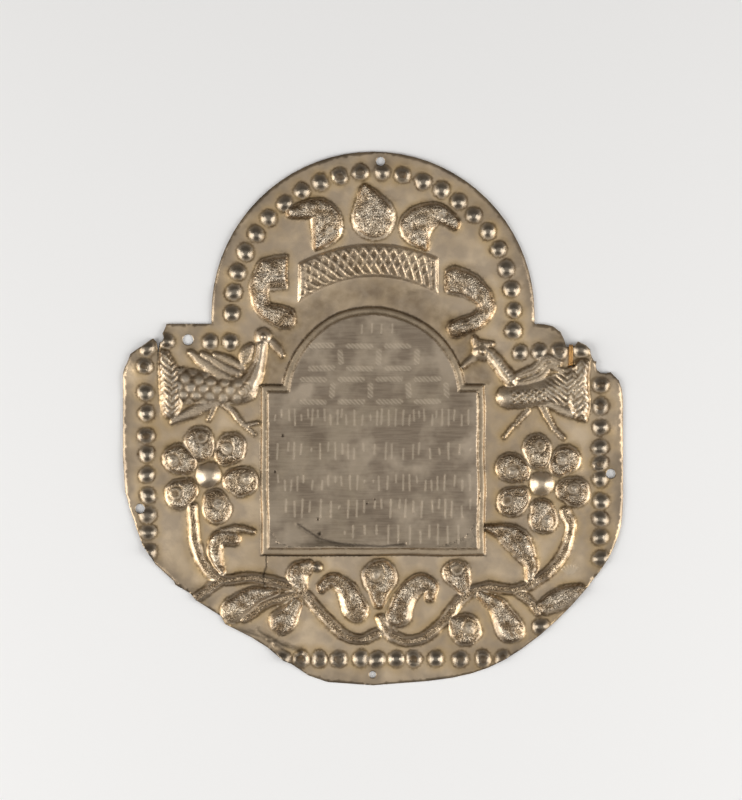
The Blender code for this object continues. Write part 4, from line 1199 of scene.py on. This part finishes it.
# Lighter tops: wear and painted highlight together
write_attribute(sheet_data, "rubbed_and_highlight", rubbed_and_highlight)
write_attribute(sheet_data, "stipple", dots)
write_attribute(sheet_data, "near", near * (owner < 0))
# Mask of the beads, which are painted darker as painted shade and are a little smoother
write_attribute(sheet_data, "bead", bead_tops * np.clip(rise / 1.2, 0, 1))
write_attribute(sheet_data, "panel", panel_mask)
# Mask of the panel's band, whose colour carries painted shade and which is duller
write_attribute(sheet_data, "band", fade(-depth, -0.5, 0.6) * (1 - panel_mask))
write_attribute(sheet_data, "engraved", cut)
# Painted shade: cracks, folds, the buckle, pinholes and the panel's foot crease are painted dark
write_attribute(sheet_data, "dark", np.maximum(dark, painted_crease_shade))
write_attribute(sheet_data, "edge", np.clip(1 - edge_distance / EDGE_REACH, 0, 1))
print("chased sheet:", len(sheet_data.polygons), "triangles")
sheet_data.shade_smooth()
sheet_data.set_sharp_from_angle(angle=math.radians(80))
chased_sheet = bpy.data.objects.new("chased_sheet", sheet_data)
bpy.context.scene.collection.objects.link(chased_sheet)

# %% [markdown]
# ## Aged silver
# The metal is silver with a yellow-grey tarnish. Its colour is mixed in layers: the clean metal with
# pale patches that are partly painted sheen, broad ochre stains, brown dirt in the grooves, worn tops
# that are partly painted highlight, beads and the panel's band darkened as painted shade, painted
# shade over the panel's arch and in the cracks, folds, pinholes and the panel's foot crease, the greyer
# panel with its streaks, and fresh bright metal in the engraved strokes. The finest punch dots and
# scratches are bump, because they're smaller than any triangle.

# %% Nodes, attributes and mixed colours
def add_node(tree, kind, **sockets):
    """Add a shader node and set its sockets by name."""
    node = tree.nodes.new(kind)
    for name, value in sockets.items():
        node.inputs[name.replace("_", " ")].default_value = value
    return node


def attribute(tree, name):
    """Read one of the mesh's own numbers."""
    node = tree.nodes.new("ShaderNodeAttribute")
    node.attribute_name = name
    return node.outputs["Fac"]


def mix_colour(tree, share, first, second, blend="MIX"):
    """Mix two colours, each a socket or a plain colour."""
    node = tree.nodes.new("ShaderNodeMix")
    node.data_type = "RGBA"
    node.blend_type = blend
    node.clamp_factor = True
    for value, socket in ((share, node.inputs[0]), (first, node.inputs[6]), (second, node.inputs[7])):
        if isinstance(value, bpy.types.NodeSocket):
            tree.links.new(value, socket)
        else:
            socket.default_value = value
    return node.outputs[2]


# %% Arithmetic in a material
def calculate(tree, operation, first, second=0.0, clamp=False):
    """One step of arithmetic on sockets or numbers."""
    node = tree.nodes.new("ShaderNodeMath")
    node.operation = operation
    node.use_clamp = clamp
    for value, socket in ((first, node.inputs[0]), (second, node.inputs[1])):
        if isinstance(value, bpy.types.NodeSocket):
            tree.links.new(value, socket)
        else:
            socket.default_value = value
    return node.outputs[0]


def times(tree, first, second):
    """The product of two sockets or numbers."""
    return calculate(tree, "MULTIPLY", first, second)


def plus(tree, first, second):
    """The sum of two sockets or numbers."""
    return calculate(tree, "ADD", first, second)


# %% Noise in the object's own space
def noise(tree, vector, scale, detail=3.0, low=0.3, high=0.7):
    """Fractal noise spread to run from 0 to 1."""
    texture = add_node(tree, "ShaderNodeTexNoise", Scale=scale, Detail=detail)
    tree.links.new(vector, texture.inputs["Vector"])
    spread = add_node(tree, "ShaderNodeMapRange", From_Min=low, From_Max=high)
    tree.links.new(texture.outputs["Fac"], spread.inputs["Value"])
    return spread.outputs["Result"]


def object_place(tree, scale=(1, 1, 1), turn=0.0):
    """Object coordinates, stretched and turned."""
    place = tree.nodes.new("ShaderNodeTexCoord")
    mapping = tree.nodes.new("ShaderNodeMapping")
    mapping.inputs["Scale"].default_value = scale
    mapping.inputs["Rotation"].default_value = (0, 0, turn)
    tree.links.new(place.outputs["Object"], mapping.inputs["Vector"])
    return mapping.outputs["Vector"]


def harder(tree, value, gain):
    """The same noise with more contrast round its middle."""
    away = times(tree, calculate(tree, "SUBTRACT", value, 0.5), gain)
    return calculate(tree, "ADD", away, 0.5, True)


# %% [markdown]
# ### Colours of the metal
# For a metal shader the base colour is the colour of its reflection. The clean field is a light tan,
# tarnish turns it grey-brown, and dirt is dark brown. Some colours also carry painted light: sheen in
# the field's pale patches, highlight on the worn tops, and shade on the beads, on the panel's band and
# over the panel's arch. Each has its own name, so that it can be tuned.

# %% Colours of the silver
# Pale patches of the field: partly the silver's own uneven tone, partly painted sheen
PALE_TAN_AND_PAINTED_SHEEN = (0.75, 0.59, 0.405, 1)
TAN = (0.57, 0.435, 0.285, 1)
GREY_BROWN = (0.36, 0.29, 0.225, 1)
OCHRE = (0.54, 0.37, 0.17, 1)
# Dark brown of dirt, also used for the painted shade over the panel's arch
BROWN_DIRT_AND_SHADE = (0.15, 0.10, 0.055, 1)
STIPPLE_BROWN = (0.17, 0.125, 0.075, 1)
# Colour of the tops: worn silver and painted highlight together
RUBBED_AND_HIGHLIGHT = (0.72, 0.655, 0.55, 1)
# Painted shade: the beads are coloured darker than the rest of the silver
BEAD_METAL_PAINTED_SHADE = (0.27, 0.23, 0.18, 1)
# The panel's band: its brown tone with painted shade that dims its highlights
BAND_METAL_AND_SHADE = (0.40, 0.32, 0.225, 1)
PANEL_METAL = (0.35, 0.28, 0.20, 1)
PANEL_LIGHT = (0.54, 0.44, 0.33, 1)
PANEL_BROWN = (0.21, 0.16, 0.115, 1)
FRESH_CUT = (0.72, 0.60, 0.45, 1)
NEARLY_BLACK = (0.03, 0.022, 0.015, 1)
EDGE_DARK = (0.20, 0.155, 0.11, 1)

# %% [markdown]
# ### Layers of patina and painted light
# The layers lie over each other in this order. First the field with its cloudy stains, whose pale
# patches are partly painted sheen and which turn ochre near the ornament, then the beads painted darker
# as painted shade, the ornament's worn tops that are partly painted highlight, its dirt, and painted
# shade over the panel's arch, then the panel with its band darkened as painted shade and its own
# browner plate. Noise of several sizes keeps every layer uneven.

# %% Colour of the field
def field_colour(tree, broad, middle):
    """The flat ground: pale patches that are partly painted sheen, grey-brown patches, ochre near the
    ornament.
    """
    # Pale patches: partly uneven tone of the metal, partly painted sheen
    colour = mix_colour(tree, harder(tree, broad, 2.4), PALE_TAN_AND_PAINTED_SHEEN, TAN)
    tarnish = times(tree, harder(tree, middle, 2.2), 0.5)
    colour = mix_colour(tree, tarnish, colour, GREY_BROWN)
    stain = times(tree, attribute(tree, "near"), calculate(tree, "SUBTRACT", 1.05, middle))
    return mix_colour(tree, stain, colour, OCHRE)


# %% Colour of the ornament
def ornament_colour(tree, colour, small, dots):
    """Worn tops that are partly painted highlight, brown dirt in the grooves with painted shade over
    the panel's arch, dark stippled grounds, and beads painted darker as painted shade.
    """
    # Painted shade: the beads are painted darker
    colour = mix_colour(tree, attribute(tree, "bead"), colour, BEAD_METAL_PAINTED_SHADE)
    pits = calculate(tree, "SUBTRACT", 1.3, times(tree, dots, 2.0), True)
    ground = times(tree, attribute(tree, "stipple"), pits)
    # Tops lightened, partly wear and partly painted highlight
    colour = mix_colour(tree, times(tree, attribute(tree, "rubbed_and_highlight"), 0.48), colour, RUBBED_AND_HIGHLIGHT)
    colour = mix_colour(tree, times(tree, ground, 0.85), colour, STIPPLE_BROWN)
    patches = times(tree, attribute(tree, "stipple"), harder(tree, small, 5.0))
    colour = mix_colour(tree, times(tree, patches, 0.5), colour, BROWN_DIRT_AND_SHADE)
    # Dirt in the grooves and at the forms' feet, and painted shade over the panel's arch, unevenly
    # strong
    dirt = plus(tree, times(tree, small, 0.7), 0.35)
    return mix_colour(tree, times(tree, attribute(tree, "dirt_and_shade"), dirt), colour, BROWN_DIRT_AND_SHADE)


# %% Colour of the panel
def panel_colour(tree, colour, place, middle):
    """The panel's brown band, darkened further as painted shade, and its darker plate, with its pale
    scratched strokes.
    """
    # Painted shade: the band is painted a darker brown than the field
    colour = mix_colour(tree, times(tree, attribute(tree, "band"), 0.85), colour, BAND_METAL_AND_SHADE)
    clouds_on_plate = harder(tree, noise(tree, place, 27.0, 6.0, 0.25, 0.75), 1.8)
    plate = mix_colour(tree, clouds_on_plate, PANEL_METAL, PANEL_LIGHT)
    plate = mix_colour(tree, times(tree, harder(tree, middle, 1.9), 0.75), plate, PANEL_BROWN)
    hairs = noise(tree, object_place(tree, (1.0, 12.0, 1.0)), 90.0, 4.0)
    plate = mix_colour(tree, times(tree, harder(tree, hairs, 2.2), 0.22), plate, PANEL_LIGHT)
    colour = mix_colour(tree, attribute(tree, "panel"), colour, plate)
    return mix_colour(tree, times(tree, attribute(tree, "engraved"), 0.5), colour, FRESH_CUT)


# %% [markdown]
# ### Finest relief, and the whole material
# Hammer marks, hair scratches and punch dots under half a millimetre are bump. Worn silver is satin
# and not mirror bright, so it's moderately rough all over, a little smoother on the beads and duller
# on the panel's band.

# %% Finest relief
def silver_relief(tree, place, dots):
    """Fine hammer marks, scratches and punch dots as bump."""
    hammer = noise(tree, place, 420.0, 5.0)
    scratch = noise(tree, object_place(tree, (1.0, 14.0, 1.0), 0.5), 160.0, 3.0)
    grain = plus(tree, dots, times(tree, noise(tree, place, 1500.0, 2.0), 0.7))
    dotted = times(tree, grain, attribute(tree, "stipple"))
    relief = times(tree, hammer, 0.34)
    relief = plus(tree, relief, times(tree, scratch, 0.06))
    relief = plus(tree, relief, times(tree, dotted, 1.7))
    bump = add_node(tree, "ShaderNodeBump", Strength=1.0, Distance=0.00014)
    tree.links.new(relief, bump.inputs["Height"])
    return bump.outputs["Normal"]


# %% Silver
# How many noise patches fit in a metre, for the broad, the middle and the small stains
STAIN_SCALES = (24.0, 78.0, 260.0)
PUNCH_DOT_SCALE = 1050.0
ROUGHNESS = 0.31
UNEVEN_ROUGHNESS = 0.14


def silver_material():
    """Old silver, tarnished, dirty in its grooves and worn on its tops, with painted highlight and
    painted shade mixed into its colour.
    """
    metal = bpy.data.materials.new("aged silver")
    metal.use_nodes = True
    tree = metal.node_tree
    shader = tree.nodes["Principled BSDF"]
    shader.inputs["Metallic"].default_value = 1.0
    place = object_place(tree)
    broad, middle, small = (noise(tree, place, scale, 3.0) for scale in STAIN_SCALES)
    cells = add_node(tree, "ShaderNodeTexVoronoi", Scale=PUNCH_DOT_SCALE)
    tree.links.new(place, cells.inputs["Vector"])
    dots = cells.outputs["Distance"]
    colour = field_colour(tree, broad, middle)
    colour = ornament_colour(tree, colour, small, dots)
    colour = panel_colour(tree, colour, place, middle)
    rim = calculate(tree, "POWER", attribute(tree, "edge"), 2.0)
    patchy = plus(tree, times(tree, middle, 0.6), 0.25)
    colour = mix_colour(tree, times(tree, rim, patchy), colour, EDGE_DARK)
    # Painted shade, nearly black, in the cracks, folds, buckle, pinholes and along the panel's foot
    # crease
    colour = mix_colour(tree, attribute(tree, "dark"), colour, NEARLY_BLACK)
    tree.links.new(colour, shader.inputs["Base Color"])
    rough = plus(tree, times(tree, small, UNEVEN_ROUGHNESS), ROUGHNESS)
    rough = calculate(tree, "SUBTRACT", rough, times(tree, attribute(tree, "bead"), 0.03))
    rough = plus(tree, rough, times(tree, attribute(tree, "band"), 0.14))
    tree.links.new(rough, shader.inputs["Roughness"])
    tree.links.new(silver_relief(tree, place, dots), shader.inputs["Normal"])
    return metal


sheet_data.materials.append(silver_material())
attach(chased_sheet, "root")
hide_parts("shield_sheet")

# %% [markdown]
# ## The tie
# Someone tied the torn shoulder with a few turns of thin gilt wire, through a slot in the sheet and
# over its torn edge. It is a curve with a round section that follows the frame's turns, with more
# points for rounder corners.

# %% Path of the wire
WIRE_TURNS = 3
WIRE_PITCH = 0.66
TIE_BEND = 0.62


def wire_route(step=15):
    """Points along the turns of the wire, in millimetres."""
    radius = WIRE_DIAMETER / 2
    outer = TIE[2] + WIRE_CLEARANCE + radius
    low = WIRE_FLOOR_GAP + radius
    lifted = WIRE_FLOOR_GAP + WIRE_DIAMETER + WIRE_CLEARANCE
    high = lifted + GAUGE + 2 * WIRE_CLEARANCE + radius
    corners = [(TIE[1], high, 180), (outer, high, 90), (outer, low, 0), (TIE[1], low, -90)]
    loop = []
    for corner_y, corner_z, start in corners:
        middle_y = corner_y + math.copysign(TIE_BEND, (TIE[1] + outer) / 2 - corner_y)
        middle_z = corner_z + math.copysign(TIE_BEND, (low + high) / 2 - corner_z)
        for turn in range(start, start - 90 - 1, -step):
            loop.append((middle_y + TIE_BEND * math.cos(math.radians(turn)),
                         middle_z + TIE_BEND * math.sin(math.radians(turn))))
    count = len(loop)
    return [(TIE[0] + WIRE_PITCH * (i / count - WIRE_TURNS / 2), *loop[i % count])
            for i in range(count * WIRE_TURNS)]


# %% Gilt of the wire
GILT = (0.62, 0.36, 0.13, 1)
GILT_WORN = (0.36, 0.20, 0.08, 1)


def wire_material():
    """Thin gilt wire, dull and a little dirty."""
    metal = bpy.data.materials.new("gilt wire")
    metal.use_nodes = True
    tree = metal.node_tree
    shader = tree.nodes["Principled BSDF"]
    shader.inputs["Metallic"].default_value = 1.0
    worn = noise(tree, object_place(tree), 900.0, 3.0)
    colour = mix_colour(tree, worn, GILT, GILT_WORN)
    tree.links.new(colour, shader.inputs["Base Color"])
    rough = plus(tree, times(tree, worn, 0.2), 0.3)
    tree.links.new(rough, shader.inputs["Roughness"])
    return metal


# %% Make the wire
wire_curve = bpy.data.curves.new("tie_wire", "CURVE")
wire_curve.dimensions = "3D"
wire_curve.bevel_depth = WIRE_DIAMETER / 2 * MM
wire_curve.bevel_resolution = 3
wire_curve.use_fill_caps = True
route = wire_route()
spline = wire_curve.splines.new("POLY")
spline.points.add(len(route) - 1)
for point, place in zip(spline.points, route):
    point.co = (*[value * MM for value in place], 1)
tie_wire = bpy.data.objects.new("tie_wire", wire_curve)
bpy.context.scene.collection.objects.link(tie_wire)
wire_curve.materials.append(wire_material())
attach(tie_wire, "root")
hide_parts("repair_wire")
print("wire points:", len(route))

# %% [markdown]
# ## Table, light and camera
# The shield lies on a pale table and is seen from straight above. Metal shows what it mirrors, so
# the light matters more than its colour. Two soft boxes at left and right give every bead its pair
# of highlights. The table is a plain rough sheet a hair's breadth below the silver.

# %% Table
FLOOR_DROP = 0.0002
FLOOR_COLOUR = (0.897, 0.903, 0.91, 1)
floor_mesh = bmesh.new()
bmesh.ops.create_grid(floor_mesh, x_segments=1, y_segments=1, size=2.0)
bmesh.ops.translate(floor_mesh, verts=floor_mesh.verts, vec=(0, 0, -FLOOR_DROP))
floor_data = bpy.data.meshes.new("table")
floor_mesh.to_mesh(floor_data)
floor_mesh.free()
table = bpy.data.objects.new("table", floor_data)
bpy.context.scene.collection.objects.link(table)
paper = bpy.data.materials.new("pale table")
paper.use_nodes = True
paper_shader = paper.node_tree.nodes["Principled BSDF"]
paper_shader.inputs["Base Color"].default_value = FLOOR_COLOUR
paper_shader.inputs["Roughness"].default_value = 0.9
floor_data.materials.append(paper)

# %% Lights
SOFTBOX_TILT = 62.0
SOFTBOX_DISTANCE = 1.25
SOFTBOX_SIZE = 1.0
SOFTBOX_POWER = 12.9
SOFTBOX_BACK = -0.24


def softbox(name, side, power):
    """A square soft light that looks at the shield from one side."""
    light = bpy.data.lights.new(name, "AREA")
    light.shape = "SQUARE"
    light.size = SOFTBOX_SIZE
    light.energy = power
    light.color = (1.0, 0.985, 0.96)
    lamp = bpy.data.objects.new(name, light)
    tilt = math.radians(SOFTBOX_TILT)
    lamp.location = Vector((side * math.sin(tilt), SOFTBOX_BACK, math.cos(tilt))) * SOFTBOX_DISTANCE
    lamp.rotation_euler = (-lamp.location).to_track_quat("-Z", "Y").to_euler()
    bpy.context.scene.collection.objects.link(lamp)


softbox("left softbox", -1, SOFTBOX_POWER)
softbox("right softbox", 1, SOFTBOX_POWER)

# %% [markdown]
# ### Sky
# The flat field mirrors what is straight overhead, and a slope mirrors what is lower. So the sky is
# of a middle tone overhead, bright in a ring some twenty degrees off it, and dim from there down to
# the horizon. The field stays even and calm, its gentle waves turn pale, and the steep sides of the
# forms turn dark. The whole sky leans a little, which makes the upper and lower slopes differ.

# %% Sky
ZENITH_TILT = 8.0
# Each stop is the cosine of the angle from overhead, and the tone there
SKY_STOPS = ((0.0, (0.26, 0.235, 0.21, 1)), (0.55, (0.17, 0.16, 0.15, 1)),
             (0.84, (0.24, 0.235, 0.23, 1)), (0.925, (0.82, 0.82, 0.82, 1)),
             (0.955, (0.82, 0.82, 0.82, 1)), (0.995, (0.44, 0.44, 0.44, 1)))
sky = bpy.data.worlds.new("studio")
sky.use_nodes = True
bpy.context.scene.world = sky
background = sky.node_tree.nodes["Background"]
direction = sky.node_tree.nodes.new("ShaderNodeTexCoord")
upward = sky.node_tree.nodes.new("ShaderNodeVectorMath")
upward.operation = "DOT_PRODUCT"
lean = math.radians(ZENITH_TILT)
upward.inputs[1].default_value = (0.0, -math.sin(lean), math.cos(lean))
ramp = sky.node_tree.nodes.new("ShaderNodeValToRGB")
sky.node_tree.links.new(direction.outputs["Generated"], upward.inputs[0])
sky.node_tree.links.new(upward.outputs["Value"], ramp.inputs["Fac"])
ramp.color_ramp.elements.remove(ramp.color_ramp.elements[1])
for number, (position, tone) in enumerate(SKY_STOPS):
    stop = ramp.color_ramp.elements[0] if number == 0 else ramp.color_ramp.elements.new(position)
    stop.position = position
    stop.color = tone
sky.node_tree.links.new(ramp.outputs["Color"], background.inputs["Color"])
background.inputs["Strength"].default_value = 1.0

# %% Camera
PHOTO_HEIGHT_MM = 384.0
CAMERA_HEIGHT = 2.6
CAMERA_PLACE = (-0.96, 8.88)
camera_data = bpy.data.cameras.new("camera")
camera_data.sensor_fit = "VERTICAL"
camera_data.sensor_height = 24.0
camera_data.lens = camera_data.sensor_height * CAMERA_HEIGHT / (PHOTO_HEIGHT_MM * MM)
camera_data.clip_end = 20.0
camera = bpy.data.objects.new("camera", camera_data)
camera.location = (CAMERA_PLACE[0] * MM, CAMERA_PLACE[1] * MM, CAMERA_HEIGHT)
bpy.context.scene.collection.objects.link(camera)
bpy.context.scene.camera = camera
bpy.context.scene.view_settings.view_transform = "Standard"
